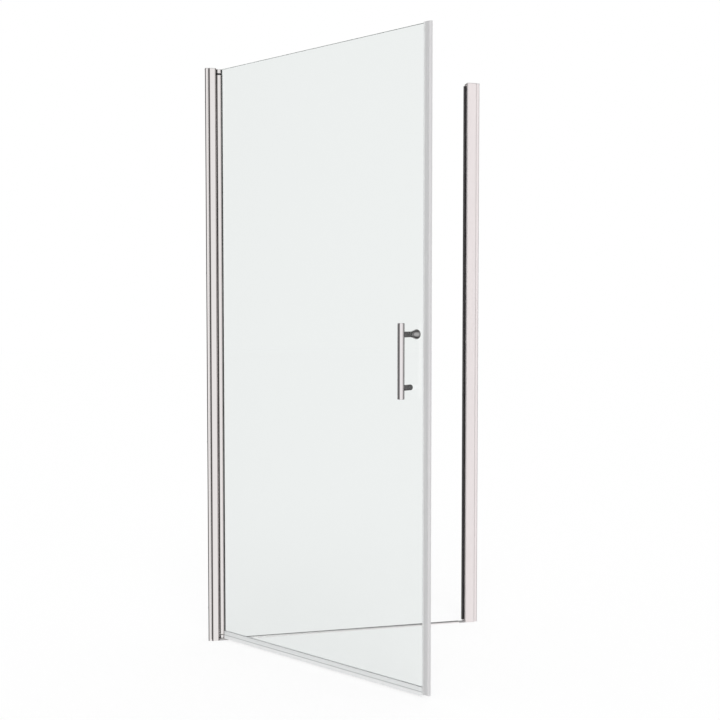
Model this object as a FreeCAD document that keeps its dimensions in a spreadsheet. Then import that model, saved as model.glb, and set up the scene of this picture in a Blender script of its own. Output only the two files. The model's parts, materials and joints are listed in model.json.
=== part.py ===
import FreeCAD, Part
import os
import re
import Sketcher

# Pivot shower door, in millimetres. x runs from the wall beside the pivot towards the wall
# beside the latch edge, y runs into the shower and z runs up from the tray. The origin is at
# the foot of the pivot side's wall face, halfway through the depth of the jamb.

SIZES = [
    # the opening between the two walls
    ("overall_width", 914, "wall to wall"),
    ("overall_height", 1829, "tray to the top of the jambs"),
    # wall channels and jambs: a jamb's two legs slide over its channel's flanges
    ("channel_reach", 24.6, "how far a channel's flanges stand out from the wall"),
    ("channel_wall", 1.8, "wall of the channel extrusion"),
    ("channel_round", 4, "rounding of the channel's wall corners"),
    ("jamb_start", 10.4, "wall to the tips of a jamb's legs"),
    ("jamb_depth", 33.6, "outside depth of a jamb, across the door"),
    ("jamb_wall", 2, "wall of the jamb extrusion"),
    ("jamb_lip", 3.4, "thickness of the guide lip at the tip of a leg"),
    ("jamb_lip_width", 5, "width of that lip"),
    ("jamb_round", 4.6, "rounding of a jamb's long corners"),
    ("slide_gap", 0.3, "side play between a lip and a flange"),
    ("hinge_jamb_width", 24.5, "leg tips to the face beside the pivot column"),
    ("strike_jamb_width", 34.4, "leg tips to the face that the door closes on"),
    ("strike_round", 5, "rounding of the strike jamb's two long corners"),
    ("chamber_width", 3.2, "screw chambers beside the pivot groove"),
    ("nose_wall", 2.2, "wall at the bottom of the pivot groove"),
    ("cap_thickness", 1.5, "plate of the jambs' top caps"),
    ("plug_depth", 12, "how far a cap's plug goes down inside a jamb"),
    ("plug_gap", 0.3, "play around that plug"),
    ("plug_width", 13, "plug, away from the wall"),
    # wall fixings and the screws that lock a jamb to its channel
    ("wall_hole_pitch", 540, "spacing of the holes in a channel's web"),
    ("wall_hole_radius", 2.75, "clearance hole for a wall screw"),
    ("lock_screw_pitch", 780, "spacing of the screws through a jamb's shower side leg"),
    ("lock_screw_inset", 21.6, "wall to the axis of those screws"),
    ("lock_shank_radius", 1.9, "shank of a locking screw"),
    ("lock_shank_length", 7, "length under the head"),
    ("screw_gap", 0.25, "play of a screw in the outer piece"),
    ("screw_cap_radius", 5.4, "snap cap on the head of a locking screw"),
    ("screw_cap_height", 3.4, "height of that cap"),
    # pivot
    ("pivot_inset", 44.7, "wall to the pivot axis"),
    ("open_angle", 51.5, "how far the door stands open, in degrees"),
    ("column_radius", 13, "outside of the door's round pivot column"),
    ("column_lift", 20.4, "tray to the foot of the column"),
    ("column_drop", 20, "top of the jambs to the head of the column"),
    ("groove_gap", 0.8, "play between the column and the jamb's groove"),
    ("pin_radius", 3.5, "stainless pivot pin"),
    ("pin_gap", 0.06, "running play between a pin and its bush"),
    ("pin_entry", 18, "how far a pin goes into its bush"),
    ("pin_chamfer", 0.8, "lead-in on a pin's free end"),
    ("bush_wall", 2.1, "wall of a pivot bush"),
    ("bush_entry", 22, "how far a bush goes into the column"),
    ("bush_flange_radius", 12.8, "flange of a bush"),
    ("top_flange", 5.2, "thickness of the top bush's flange"),
    ("bottom_flange", 2.1, "thickness of the bottom bush's flange"),
    ("washer_thickness", 1, "thrust washer"),
    ("washer_radius", 8, "outside of the thrust washer"),
    ("end_gap", 0.6, "play between the top bush and the top pivot block"),
    ("thrust_gap", 0.3, "play between the bottom bush and the thrust washer"),
    ("block_radius", 12.6, "round boss of a pivot block"),
    ("block_sink", 1.6, "top of the jambs to the top of the top pivot block"),
    ("block_edge", 1, "chamfer of a block's upper rim"),
    ("neck_width", 15.6, "neck that carries the boss through the jamb's nose"),
    ("notch_gap", 0.3, "play around that neck"),
    ("tongue_height", 34, "height of a block's tongue inside the jamb"),
    ("tongue_gap", 0.15, "play around that tongue"),
    ("tongue_thickness", 3.4, "tongue, away from the wall"),
    ("stem_length", 8, "stem between the channel's flanges"),
    ("block_screw_place", 9, "boss to the screw that holds a block"),
    ("block_screw_radius", 1.3, "shank of that screw"),
    ("block_screw_length", 9, "length under its head"),
    ("block_head_radius", 2.8, "head of that screw"),
    ("block_head_height", 1.6, "height of that head"),
    ("pin_cover", 3, "metal left over a pin in its block"),
    ("column_web", 1.3, "walls between the column's chambers"),
    # glass
    ("glass_thickness", 6, "toughened glass"),
    ("glass_lift", 18.5, "tray to the bottom edge of the glass"),
    ("glass_drop", 2, "top of the jambs to the top edge of the glass"),
    ("glass_set", 0.6, "bush to the hidden edge of the glass"),
    ("glass_round", 0.8, "ground arris along the glass edges"),
    ("glazing_gap", 1.6, "glazing strip on each face of the glass"),
    ("glazing_lip", 0.9, "how far a glazing strip's lip stands out of the slot"),
    ("notch_width", 7.5, "corner notches that clear the pivot blocks"),
    ("notch_height", 19, "height of the top corner notch"),
    ("foot_notch_height", 5, "height of the bottom corner notch"),
    # latch edge: the seal on the glass and the strip on the jamb
    ("closing_gap", 1.6, "seal to strip when the door is closed"),
    ("strip_stand", 7.4, "how far the jamb's magnet strip stands out"),
    ("strip_width", 6, "width of that strip's nose"),
    ("strip_neck_width", 3.6, "width of the neck under the nose"),
    ("strip_neck", 2, "length of that neck"),
    ("strip_foot", 2, "thickness of that strip's foot"),
    ("strip_foot_width", 22, "width of that foot at its bottom"),
    ("dovetail", 0.8, "how far the foot narrows towards the face"),
    ("foot_gap", 0.1, "play around the foot in its groove"),
    ("strip_round", 1, "rounding of the strip's nose"),
    ("strip_lift", 7, "tray to the bottom of the strip"),
    ("seal_wall", 1.1, "wall of the clear seals"),
    ("seal_web", 2, "web between the glass edge and the magnet head"),
    ("seal_neck", 0.5, "recess between the clip and the magnet head"),
    ("seal_head", 6.3, "magnet head, along the glass"),
    ("seal_head_width", 9.4, "magnet head, across the glass"),
    ("seal_reach", 14, "how far the clip reaches back over the glass"),
    ("seal_gap", 0.15, "play between a clip and the glass"),
    ("edge_seal_lift", 10.7, "tray to the bottom of the edge seal"),
    ("edge_seal_rise", 2, "how far the edge seal stands over the glass"),
    ("head_round", 1.4, "rounding of the magnet head"),
    ("magnet_thickness", 3, "magnetic strips"),
    ("magnet_width", 4.6, "magnetic strips"),
    # bottom seal and threshold
    ("bottom_clip_height", 11.5, "how far the bottom seal's clip reaches up the glass"),
    ("bottom_web", 1.5, "web under the glass"),
    ("fin_wall", 0.9, "wall of the two fins"),
    ("fin_splay", 1.6, "how far a fin's foot leans out"),
    ("wing_reach", 4.5, "drip wing on the shower side"),
    ("wing_drop", 3.5, "how far the wing's tip hangs"),
    ("wing_wall", 0.9, "wall of that wing"),
    ("seal_play", 0.4, "bottom seal to its neighbours at both ends"),
    ("bar_height", 4, "threshold bar"),
    ("bar_width", 12, "threshold bar, across the door"),
    ("bar_wall", 1.2, "wall of the threshold bar"),
    ("bar_round", 1.6, "rounding of the bar's top edges"),
    ("bar_gap", 0.8, "fins to threshold bar"),
    ("bar_end_length", 21, "end block beside the strike jamb"),
    ("bar_shoulder", 8, "how far the other end block passes the pivot block"),
    ("bar_end_rise", 0.4, "how far an end block stands over the bar"),
    # handle
    ("handle_setback", 61.2, "free edge of the glass to the handle"),
    ("handle_height", 923.8, "tray to the middle of the handle"),
    ("handle_length", 207, "length of the bar with its end caps"),
    ("handle_inset", 31, "each end of the bar to the axis of its post"),
    ("handle_radius", 9.6, "outside of the bar"),
    ("handle_wall", 1.5, "wall of the bar"),
    ("handle_stand", 37.5, "face of the glass to the bar's axis"),
    ("post_radius", 8, "the two posts"),
    ("gasket_thickness", 1, "soft washers against the glass"),
    ("stud_radius", 3, "threaded studs through the glass"),
    ("stud_entry", 12, "how far a stud goes into a post"),
    ("glass_hole_radius", 6, "holes in the glass"),
    ("knob_radius", 13.2, "far end of the shower side knob"),
    ("knob_length", 32, "length of that knob"),
    ("knob_neck", 7, "straight part next to the glass"),
    ("knob_rim", 3.2, "width of its rim"),
    ("rear_cap_length", 3.4, "cap behind the lower post"),
    ("end_cap_dome", 1.2, "how far the bar's end caps stand out"),
    ("end_cap_entry", 8, "how far they go into the bar"),
]

doc = FreeCAD.newDocument("PivotShowerDoor")
sheet = doc.addObject("Spreadsheet::Sheet", "Sizes")
for row, (name, value, meaning) in enumerate(SIZES, start=1):
    sheet.set(f"A{row}", meaning)
    sheet.set(f"B{row}", str(value))
    sheet.setAlias(f"B{row}", name)
doc.recompute()
SIZE_NAMES = {name for name, value, meaning in SIZES}

# Places and sizes that follow from the ones above, as formulas over the sheet's names.
HALF_JAMB = "(jamb_depth/2)"
HALF_CHANNEL = "(jamb_depth/2-jamb_lip-slide_gap)"
JAMB_TOP = "(overall_height-cap_thickness)"
HINGE_FACE = "(jamb_start+hinge_jamb_width)"
STRIKE_TIP = "(overall_width-jamb_start)"
STRIKE_FACE = f"({STRIKE_TIP}-strike_jamb_width)"
GROOVE_RADIUS = "(column_radius+groove_gap)"
NOSE_INSIDE = f"(pivot_inset-{GROOVE_RADIUS}-nose_wall)"
COLUMN_TOP = "(overall_height-column_drop)"
BUSH_RADIUS = "(pin_radius+pin_gap+bush_wall)"
TOP_BLOCK_FOOT = f"({COLUMN_TOP}+top_flange+end_gap)"
TOP_BLOCK_HEAD = "(overall_height-block_sink)"
FOOT_BLOCK_HEAD = "(column_lift-bottom_flange-thrust_gap-washer_thickness)"
SLOT_HALF = "(glass_thickness/2+glazing_gap)"
HALF_GLASS = "(glass_thickness/2)"
GLASS_START = f"({BUSH_RADIUS}+glass_set)"
GLASS_TOP = "(overall_height-glass_drop)"
STRIP_FACE = f"({STRIKE_FACE}-strip_stand)"
DOOR_REACH = f"({STRIP_FACE}-closing_gap-pivot_inset)"
HEAD_START = f"({DOOR_REACH}-seal_head)"
CLIP_END = f"({HEAD_START}-seal_neck)"
GLASS_END = f"({CLIP_END}-seal_web)"
CLIP_START = f"({GLASS_END}-seal_reach)"
CLIP_HALF = f"({HALF_GLASS}+seal_gap+seal_wall)"
SEAL_TOP = f"({GLASS_TOP}+edge_seal_rise)"
FIN_FOOT = "(bar_height+bar_end_rise+bar_gap)"
WEB_FOOT = "(glass_lift-seal_gap-bottom_web)"
HANDLE_PLACE = f"({GLASS_END}-handle_setback)"
BAR_AXIS = f"({HALF_GLASS}+handle_stand)"
MIDDLE = "(overall_height/2)"
BAR_FRONT = f"(-{HALF_JAMB})"
BAR_BACK = f"({BAR_FRONT}+bar_width)"


def bound(formula):
    """The formula as an expression on the sheet's cells."""
    return re.sub(r"[a-z_]+", lambda m: "Sizes." + m[0] if m[0] in SIZE_NAMES else m[0], formula)


def number(formula):
    return float(sheet.evalExpression(formula))


def new_body(label, rides="frame"):
    """A named piece. What rides on the door is turned about the pivot axis with it."""
    body = doc.addObject("PartDesign::Body", label)
    body.Label = label
    if rides == "door":
        body.Placement = FreeCAD.Placement(
            FreeCAD.Vector(number("pivot_inset"), 0, 0),
            FreeCAD.Rotation(FreeCAD.Vector(0, 0, 1), -number("open_angle")),
        )
        body.setExpression("Placement.Base.x", bound("pivot_inset"))
        body.setExpression("Placement.Rotation.Angle", bound("-open_angle"))
    return body


def origin_feature(body, role):
    return next(feature for feature in body.Origin.OriginFeatures if feature.Role == role)


def sketch_on(body, role, shift):
    """A sketch on one of the body's own planes, its origin shifted by three formulas."""
    sketch = body.newObject("Sketcher::SketchObject", f"{body.Label}_profile")
    sketch.AttachmentSupport = [(origin_feature(body, role), "")]
    sketch.MapMode = "FlatFace"
    start = FreeCAD.Vector(*[number(part) for part in shift])
    sketch.AttachmentOffset = FreeCAD.Placement(start, FreeCAD.Rotation())
    for axis, part in zip("xyz", shift):
        sketch.setExpression(f"AttachmentOffset.Base.{axis}", bound(part))
    return sketch


def hold(sketch, kind, elements, formula):
    """A dimension that follows a formula."""
    index = sketch.addConstraint(Sketcher.Constraint(kind, *elements, number(formula)))
    sketch.renameConstraint(index, f"held{index}")
    sketch.setExpression(f"Constraints.held{index}", bound(formula))


def draw_outline(sketch, corners):
    """A closed outline of straight sides, each corner held by two dimensions."""
    first = sketch.GeometryCount
    places = [FreeCAD.Vector(number(across), number(up), 0) for across, up in corners]
    for here, there in zip(places, places[1:] + places[:1]):
        sketch.addGeometry(Part.LineSegment(here, there), False)
    count = len(corners)
    for side, (across, up) in enumerate(corners):
        line = first + side
        sketch.addConstraint(
            Sketcher.Constraint("Coincident", first + (side - 1) % count, 2, line, 1)
        )
        hold(sketch, "DistanceX", (-1, 1, line, 1), across)
        hold(sketch, "DistanceY", (-1, 1, line, 1), up)


def draw_box(sketch, left, low, right, high):
    draw_outline(sketch, [(left, low), (right, low), (right, high), (left, high)])


def draw_circle(sketch, across, up, radius):
    centre = FreeCAD.Vector(number(across), number(up), 0)
    index = sketch.addGeometry(Part.Circle(centre, FreeCAD.Vector(0, 0, 1), number(radius)), False)
    hold(sketch, "DistanceX", (-1, 1, index, 3), across)
    hold(sketch, "DistanceY", (-1, 1, index, 3), up)
    hold(sketch, "Radius", (index,), radius)


def box(left, low, right, high):
    return draw_box, (left, low, right, high)


def circle(across, up, radius):
    return draw_circle, (across, up, radius)


def outline(*corners):
    return draw_outline, (corners,)


# How near an edge lies to its worked out place, in millimetres.
NEAR = 1e-4

# The plane that each direction is extruded from, and whether that plane faces along it.
PLANES = {"x": ("YZ_Plane", True), "y": ("XZ_Plane", False), "z": ("XY_Plane", True)}


def layer(body, direction, start, shapes):
    """A sketch that lies across a direction, at a place along it."""
    role, along = PLANES[direction]
    lift = start if along else f"-({start})"
    sketch = sketch_on(body, role, ("0", "0", lift))
    for draw, values in shapes:
        draw(sketch, *values)
    return sketch


def add(body, direction, start, end, *shapes):
    """Extrude shapes along x, y or z between two places."""
    pad = body.newObject("PartDesign::Pad", f"{body.Label}_pad")
    pad.Profile = layer(body, direction, start, shapes)
    pad.setExpression("Length", bound(f"({end})-({start})"))
    pad.Reversed = not PLANES[direction][1]
    doc.recompute()
    return pad


def cut(body, direction, start, end, *shapes):
    """Cut shapes out along x, y or z between two places."""
    before = body.Shape.Volume
    pocket = body.newObject("PartDesign::Pocket", f"{body.Label}_pocket")
    pocket.Profile = layer(body, direction, start, shapes)
    pocket.setExpression("Length", bound(f"({end})-({start})"))
    pocket.Reversed = PLANES[direction][1]
    doc.recompute()
    if body.Shape.Volume >= before:
        raise RuntimeError(f"{pocket.Label} cuts nothing")
    return pocket


def turn(body, role, shift, *shapes):
    """Revolve shapes about their sketch's upright axis."""
    sketch = sketch_on(body, role, shift)
    for draw, values in shapes:
        draw(sketch, *values)
    turned = body.newObject("PartDesign::Revolution", f"{body.Label}_turned")
    turned.Profile = sketch
    turned.ReferenceAxis = (sketch, ["V_Axis"])
    turned.Angle = 360
    doc.recompute()
    return turned


def repeat(body, feature, role, length, count):
    """Equal steps of one feature along one of the body's axes."""
    pattern = body.newObject("PartDesign::LinearPattern", f"{body.Label}_row")
    pattern.Originals = [feature]
    pattern.Direction = (origin_feature(body, role), [""])
    pattern.setExpression("Length", bound(length))
    pattern.Occurrences = count
    body.Tip = pattern
    doc.recompute()
    return pattern


def edges_along(shape, direction, *places):
    """Names of the straight edges that run along x, y or z through the given places."""
    axis = "xyz".index(direction)
    others = [index for index in range(3) if index != axis]
    names = []
    for index, edge in enumerate(shape.Edges, start=1):
        ends = [vertex.Point for vertex in edge.Vertexes]
        if len(ends) < 2 or abs(abs(ends[0][axis] - ends[1][axis]) - edge.Length) > NEAR:
            continue
        for place in places:
            if all(abs(ends[0][k] - number(at)) < NEAR for k, at in zip(others, place)):
                names.append(f"Edge{index}")
    return names


def round_edges(shape, radius, *places):
    """Names of the full round edges of a radius whose centres are at the given places."""
    names = []
    for index, edge in enumerate(shape.Edges, start=1):
        if len(edge.Vertexes) > 1 or abs(edge.Curve.Radius - number(radius)) > NEAR:
            continue
        for place in places:
            centre = FreeCAD.Vector(*[number(at) for at in place])
            if edge.Curve.Center.distanceToPoint(centre) < NEAR:
                names.append(f"Edge{index}")
    return names


def soften(body, kind, edges, size):
    """Fillet or chamfer the named edges of the body's last feature."""
    if not edges:
        raise RuntimeError(f"{body.Label} has no edge to soften there")
    base = body.Tip
    feature = body.newObject(f"PartDesign::{kind}", f"{body.Label}_{kind.lower()}")
    feature.Base = (base, edges)
    feature.setExpression("Radius" if kind == "Fillet" else "Size", bound(size))
    doc.recompute()
    if not feature.isValid():
        raise RuntimeError(f"{feature.Label} did not compute")
    return feature


# Wall channels: a U whose web lies on the wall, with clearance holes for the wall screws.
def wall_channel(label, wall, inward):
    """wall is the x of the wall face, and inward is +1 or -1 for the way the flanges point."""
    side = "+" if inward > 0 else "-"
    web = f"{wall}{side}channel_wall"
    tip = f"{wall}{side}channel_reach"
    left, right = (wall, tip) if inward > 0 else (tip, wall)
    hollow_left, hollow_right = (web, right) if inward > 0 else (left, web)
    body = new_body(label)
    add(body, "z", "0", JAMB_TOP, box(left, f"-{HALF_CHANNEL}", right, HALF_CHANNEL))
    cut(body, "z", "0", JAMB_TOP, box(
        hollow_left, f"-({HALF_CHANNEL}-channel_wall)", hollow_right, f"{HALF_CHANNEL}-channel_wall"
    ))
    corners = edges_along(body.Tip.Shape, "z", (wall, f"-{HALF_CHANNEL}"), (wall, HALF_CHANNEL))
    soften(body, "Fillet", corners, "channel_round")
    low, high = (wall, web) if inward > 0 else (web, wall)
    hole = cut(body, "x", low, high, circle("0", f"{MIDDLE}-1.5*wall_hole_pitch", "wall_hole_radius"))
    repeat(body, hole, "Z_Axis", "3*wall_hole_pitch", 4)
    for_flange = circle("lock_screw_inset" if inward > 0 else f"{wall}-lock_screw_inset",
                        f"{MIDDLE}-lock_screw_pitch", "lock_shank_radius")
    pilot = cut(body, "y", f"{HALF_CHANNEL}-channel_wall", HALF_CHANNEL, for_flange)
    repeat(body, pilot, "Z_Axis", "2*lock_screw_pitch", 3)
    return body


wall_channel("hinge_wall_channel", "0", 1)
wall_channel("strike_wall_channel", "overall_width", -1)


# The hinge jamb slides over its channel, and its nose is hollowed round the pivot column.
hinge_jamb = new_body("hinge_jamb")
LEG_INSIDE = f"({HALF_JAMB}-jamb_wall)"
LIP_INSIDE = f"({HALF_JAMB}-jamb_lip)"
LIP_END = "(jamb_start+jamb_lip_width)"
CHAMBER_WALL = f"({HINGE_FACE}-jamb_wall)"
CHAMBER_SIDE = f"({LEG_INSIDE}-chamber_width)"
add(hinge_jamb, "z", "0", JAMB_TOP, box("jamb_start", f"-{HALF_JAMB}", HINGE_FACE, HALF_JAMB))
hinge_corners = edges_along(
    hinge_jamb.Tip.Shape, "z",
    ("jamb_start", f"-{HALF_JAMB}"), ("jamb_start", HALF_JAMB),
    (HINGE_FACE, f"-{HALF_JAMB}"), (HINGE_FACE, HALF_JAMB),
)
soften(hinge_jamb, "Fillet", hinge_corners, "jamb_round")
cut(hinge_jamb, "z", "0", JAMB_TOP, box("jamb_start", f"-{LIP_INSIDE}", LIP_END, LIP_INSIDE))
cut(hinge_jamb, "z", "0", JAMB_TOP, box(LIP_END, f"-{LEG_INSIDE}", NOSE_INSIDE, LEG_INSIDE))
cut(hinge_jamb, "z", "0", JAMB_TOP,
    box(NOSE_INSIDE, CHAMBER_SIDE, CHAMBER_WALL, LEG_INSIDE),
    box(NOSE_INSIDE, f"-{LEG_INSIDE}", CHAMBER_WALL, f"-{CHAMBER_SIDE}"))
cut(hinge_jamb, "z", "0", JAMB_TOP, circle("pivot_inset", "0", GROOVE_RADIUS))
# Notches in the nose let the necks of the two pivot blocks through.
NOTCH_HALF = "(neck_width/2+notch_gap)"
for low, high in (
    (f"{TOP_BLOCK_FOOT}+block_edge-notch_gap", JAMB_TOP),
    ("0", f"{FOOT_BLOCK_HEAD}-block_edge+notch_gap"),
):
    cut(hinge_jamb, "z", low, high, box(NOSE_INSIDE, f"-{NOTCH_HALF}", HINGE_FACE, NOTCH_HALF))

# Screws: three lock the jamb to its channel, and one holds each pivot block.
LOCK_HOLE = "(lock_shank_radius+screw_gap)"
BLOCK_SCREW_INSET = f"({NOSE_INSIDE}-tongue_gap-tongue_thickness/2)"
TOP_SCREW_HEIGHT = f"({TOP_BLOCK_FOOT}-block_screw_place)"
FOOT_SCREW_HEIGHT = f"({FOOT_BLOCK_HEAD}+block_screw_place)"
lock_hole = cut(
    hinge_jamb, "y", LEG_INSIDE, HALF_JAMB,
    circle("lock_screw_inset", f"{MIDDLE}-lock_screw_pitch", LOCK_HOLE),
)
repeat(hinge_jamb, lock_hole, "Z_Axis", "2*lock_screw_pitch", 3)
cut(
    hinge_jamb, "y", LEG_INSIDE, HALF_JAMB,
    circle(BLOCK_SCREW_INSET, TOP_SCREW_HEIGHT, "block_screw_radius+screw_gap"),
    circle(BLOCK_SCREW_INSET, FOOT_SCREW_HEIGHT, "block_screw_radius+screw_gap"),
)


# The strike jamb: a wider box with large front corners and a dovetail groove for the strip.
strike_jamb = new_body("strike_jamb")
GROOVE_FLOOR = f"({STRIKE_FACE}+strip_foot)"
GROOVE_HALF = "(strip_foot_width/2+foot_gap)"
add(strike_jamb, "z", "0", JAMB_TOP, box(STRIKE_FACE, f"-{HALF_JAMB}", STRIKE_TIP, HALF_JAMB))
soften(strike_jamb, "Fillet", edges_along(
    strike_jamb.Tip.Shape, "z", (STRIKE_FACE, f"-{HALF_JAMB}"), (STRIKE_FACE, HALF_JAMB),
), "strike_round")
soften(strike_jamb, "Fillet", edges_along(
    strike_jamb.Tip.Shape, "z", (STRIKE_TIP, f"-{HALF_JAMB}"), (STRIKE_TIP, HALF_JAMB),
), "jamb_round")
LIP_START = f"({STRIKE_TIP}-jamb_lip_width)"
CAVITY_START = f"({GROOVE_FLOOR}+jamb_wall)"
cut(strike_jamb, "z", "0", JAMB_TOP, box(LIP_START, f"-{LIP_INSIDE}", STRIKE_TIP, LIP_INSIDE))
cut(strike_jamb, "z", "0", JAMB_TOP, box(CAVITY_START, f"-{LEG_INSIDE}", LIP_START, LEG_INSIDE))
cut(strike_jamb, "z", "0", JAMB_TOP, outline(
    (STRIKE_FACE, f"-({GROOVE_HALF}-dovetail)"), (GROOVE_FLOOR, f"-{GROOVE_HALF}"),
    (GROOVE_FLOOR, GROOVE_HALF), (STRIKE_FACE, f"{GROOVE_HALF}-dovetail"),
))
lock_hole = cut(
    strike_jamb, "y", LEG_INSIDE, HALF_JAMB,
    circle("overall_width-lock_screw_inset", f"{MIDDLE}-lock_screw_pitch", LOCK_HOLE),
)
repeat(strike_jamb, lock_hole, "Z_Axis", "2*lock_screw_pitch", 3)


def lock_screws(label, inset):
    """Three screws on the shower side, each with its snap cap."""
    body = new_body(label)
    tip = f"({HALF_JAMB}-lock_shank_length)"
    head = f"({HALF_JAMB}+screw_cap_height)"
    screw = turn(body, "XY_Plane", (inset, "0", f"{MIDDLE}-lock_screw_pitch"), outline(
        ("0", tip), ("lock_shank_radius", tip), ("lock_shank_radius", HALF_JAMB),
        ("screw_cap_radius", HALF_JAMB), ("screw_cap_radius", head), ("0", head),
    ))
    repeat(body, screw, "Z_Axis", "2*lock_screw_pitch", 3)


lock_screws("hinge_lock_screws", "lock_screw_inset")
lock_screws("strike_lock_screws", "overall_width-lock_screw_inset")


# Top caps: a thin plate with the outline of jamb and channel, and a plug between the flanges.
PLUG_HALF = f"({HALF_CHANNEL}-channel_wall-plug_gap)"


def top_cap(label, channel, jamb, plug):
    """Each span is the (left, right) x of what that part of the cap covers or fills."""
    body = new_body(label)
    add(body, "z", JAMB_TOP, "overall_height", box(jamb[0], f"-{HALF_JAMB}", jamb[1], HALF_JAMB))
    corners = [(end, depth) for end in jamb for depth in (f"-{HALF_JAMB}", HALF_JAMB)]
    soften(body, "Fillet", edges_along(body.Tip.Shape, "z", *corners), "jamb_round")
    add(body, "z", JAMB_TOP, "overall_height", box(
        channel[0], f"-{HALF_CHANNEL}", channel[1], HALF_CHANNEL
    ))
    add(body, "z", f"{JAMB_TOP}-plug_depth", JAMB_TOP, box(
        plug[0], f"-{PLUG_HALF}", plug[1], PLUG_HALF
    ))
    return body


hinge_top_cap = top_cap(
    "hinge_top_cap", ("0", "jamb_start+jamb_lip_width"), ("jamb_start", HINGE_FACE),
    ("channel_wall+plug_gap", "channel_wall+plug_gap+plug_width"),
)
cut(hinge_top_cap, "z", JAMB_TOP, "overall_height", circle("pivot_inset", "0", GROOVE_RADIUS))
top_cap(
    "strike_top_cap", (LIP_START, "overall_width"), (STRIKE_FACE, STRIKE_TIP),
    ("overall_width-channel_wall-plug_gap-plug_width", "overall_width-channel_wall-plug_gap"),
)


# Pivot blocks: a round boss in line with the column, a neck through the jamb's nose, and a
# tongue that fills the end of the jamb's cavity and takes the screw.
def pivot_block(label, boss_low, boss_high, tongue_low, tongue_high, pin_low, pin_high, screw):
    body = new_body(label)
    add(body, "z", boss_low, boss_high, circle("pivot_inset", "0", "block_radius"))
    rim = round_edges(body.Tip.Shape, "block_radius", ("pivot_inset", "0", boss_high))
    soften(body, "Chamfer", rim, "block_edge")
    tongue_right = f"({NOSE_INSIDE}-tongue_gap)"
    tongue_left = f"({tongue_right}-tongue_thickness)"
    tongue_half = f"({LEG_INSIDE}-tongue_gap)"
    add(body, "z", f"{boss_low}+block_edge", f"{boss_high}-block_edge", box(
        tongue_left, "-neck_width/2", "pivot_inset", "neck_width/2"
    ))
    add(body, "z", tongue_low, tongue_high, box(
        tongue_left, f"-{tongue_half}", tongue_right, tongue_half
    ))
    add(body, "z", tongue_low, tongue_high, box(
        f"{tongue_left}-stem_length", f"-{PLUG_HALF}", tongue_left, PLUG_HALF
    ))
    cut(body, "z", pin_low, pin_high, circle("pivot_inset", "0", "pin_radius"))
    cut(body, "y", f"{HALF_JAMB}-block_screw_length", tongue_half, circle(
        BLOCK_SCREW_INSET, screw, "block_screw_radius"
    ))
    return body


TOP_PIN_HEAD = f"({TOP_BLOCK_HEAD}-pin_cover)"
TOP_PIN_TIP = f"({COLUMN_TOP}-pin_entry)"
FOOT_PIN_TIP = "(column_lift+pin_entry)"
pivot_block(
    "top_pivot_block", TOP_BLOCK_FOOT, TOP_BLOCK_HEAD,
    f"{TOP_BLOCK_HEAD}-tongue_height", TOP_BLOCK_HEAD, TOP_BLOCK_FOOT, TOP_PIN_HEAD,
    TOP_SCREW_HEIGHT,
)
pivot_block(
    "bottom_pivot_block", "0", FOOT_BLOCK_HEAD,
    "0", "tongue_height", "pin_cover", FOOT_BLOCK_HEAD, FOOT_SCREW_HEIGHT,
)


# Pivot pins, turned from stainless rod, each with a lead-in on the end that enters its bush.
pivot_pins = new_body("pivot_pins")
for fixed_end, free_end, lead in (
    (TOP_PIN_HEAD, TOP_PIN_TIP, "+pin_chamfer"), ("pin_cover", FOOT_PIN_TIP, "-pin_chamfer")
):
    turn(pivot_pins, "XZ_Plane", ("pivot_inset", "0", "0"), outline(
        ("0", fixed_end), ("pin_radius", fixed_end), ("pin_radius", f"{free_end}{lead}"),
        ("pin_radius-pin_chamfer", free_end), ("0", free_end),
    ))

thrust_washer = new_body("thrust_washer")
add(thrust_washer, "z", FOOT_BLOCK_HEAD, f"{FOOT_BLOCK_HEAD}+washer_thickness",
    circle("pivot_inset", "0", "washer_radius"))
cut(thrust_washer, "z", FOOT_BLOCK_HEAD, f"{FOOT_BLOCK_HEAD}+washer_thickness",
    circle("pivot_inset", "0", "pin_radius+pin_gap"))

block_screws = new_body("pivot_block_screws")
for height in (FOOT_SCREW_HEIGHT, TOP_SCREW_HEIGHT):
    tip = f"({HALF_JAMB}-block_screw_length)"
    head = f"({HALF_JAMB}+block_head_height)"
    turn(block_screws, "XY_Plane", (BLOCK_SCREW_INSET, "0", height), outline(
        ("0", tip), ("block_screw_radius", tip), ("block_screw_radius", HALF_JAMB),
        ("block_head_radius", HALF_JAMB), ("block_head_radius", head), ("0", head),
    ))


# The magnet strip on the strike jamb: a dovetail foot, a neck, and a nose round the magnet.
STRIP_TOP = f"({JAMB_TOP}-strip_lift)"
magnet_strip = new_body("magnet_strip")
FOOT_HALF = "(strip_foot_width/2)"
NOSE_BACK = f"({STRIKE_FACE}-strip_neck)"
add(magnet_strip, "z", "strip_lift", STRIP_TOP, outline(
    (STRIKE_FACE, f"-({FOOT_HALF}-dovetail)"), (GROOVE_FLOOR, f"-{FOOT_HALF}"),
    (GROOVE_FLOOR, FOOT_HALF), (STRIKE_FACE, f"{FOOT_HALF}-dovetail"),
))
add(magnet_strip, "z", "strip_lift", STRIP_TOP, box(
    NOSE_BACK, "-strip_neck_width/2", STRIKE_FACE, "strip_neck_width/2"
))
add(magnet_strip, "z", "strip_lift", STRIP_TOP, box(
    STRIP_FACE, "-strip_width/2", NOSE_BACK, "strip_width/2"
))
soften(magnet_strip, "Fillet", edges_along(
    magnet_strip.Tip.Shape, "z",
    (STRIP_FACE, "-strip_width/2"), (STRIP_FACE, "strip_width/2"),
    (NOSE_BACK, "-strip_width/2"), (NOSE_BACK, "strip_width/2"),
), "strip_round")
STRIP_MAGNET = (
    f"({STRIP_FACE}+{NOSE_BACK})/2-magnet_thickness/2", "-magnet_width/2",
    f"({STRIP_FACE}+{NOSE_BACK})/2+magnet_thickness/2", "magnet_width/2",
)
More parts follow.
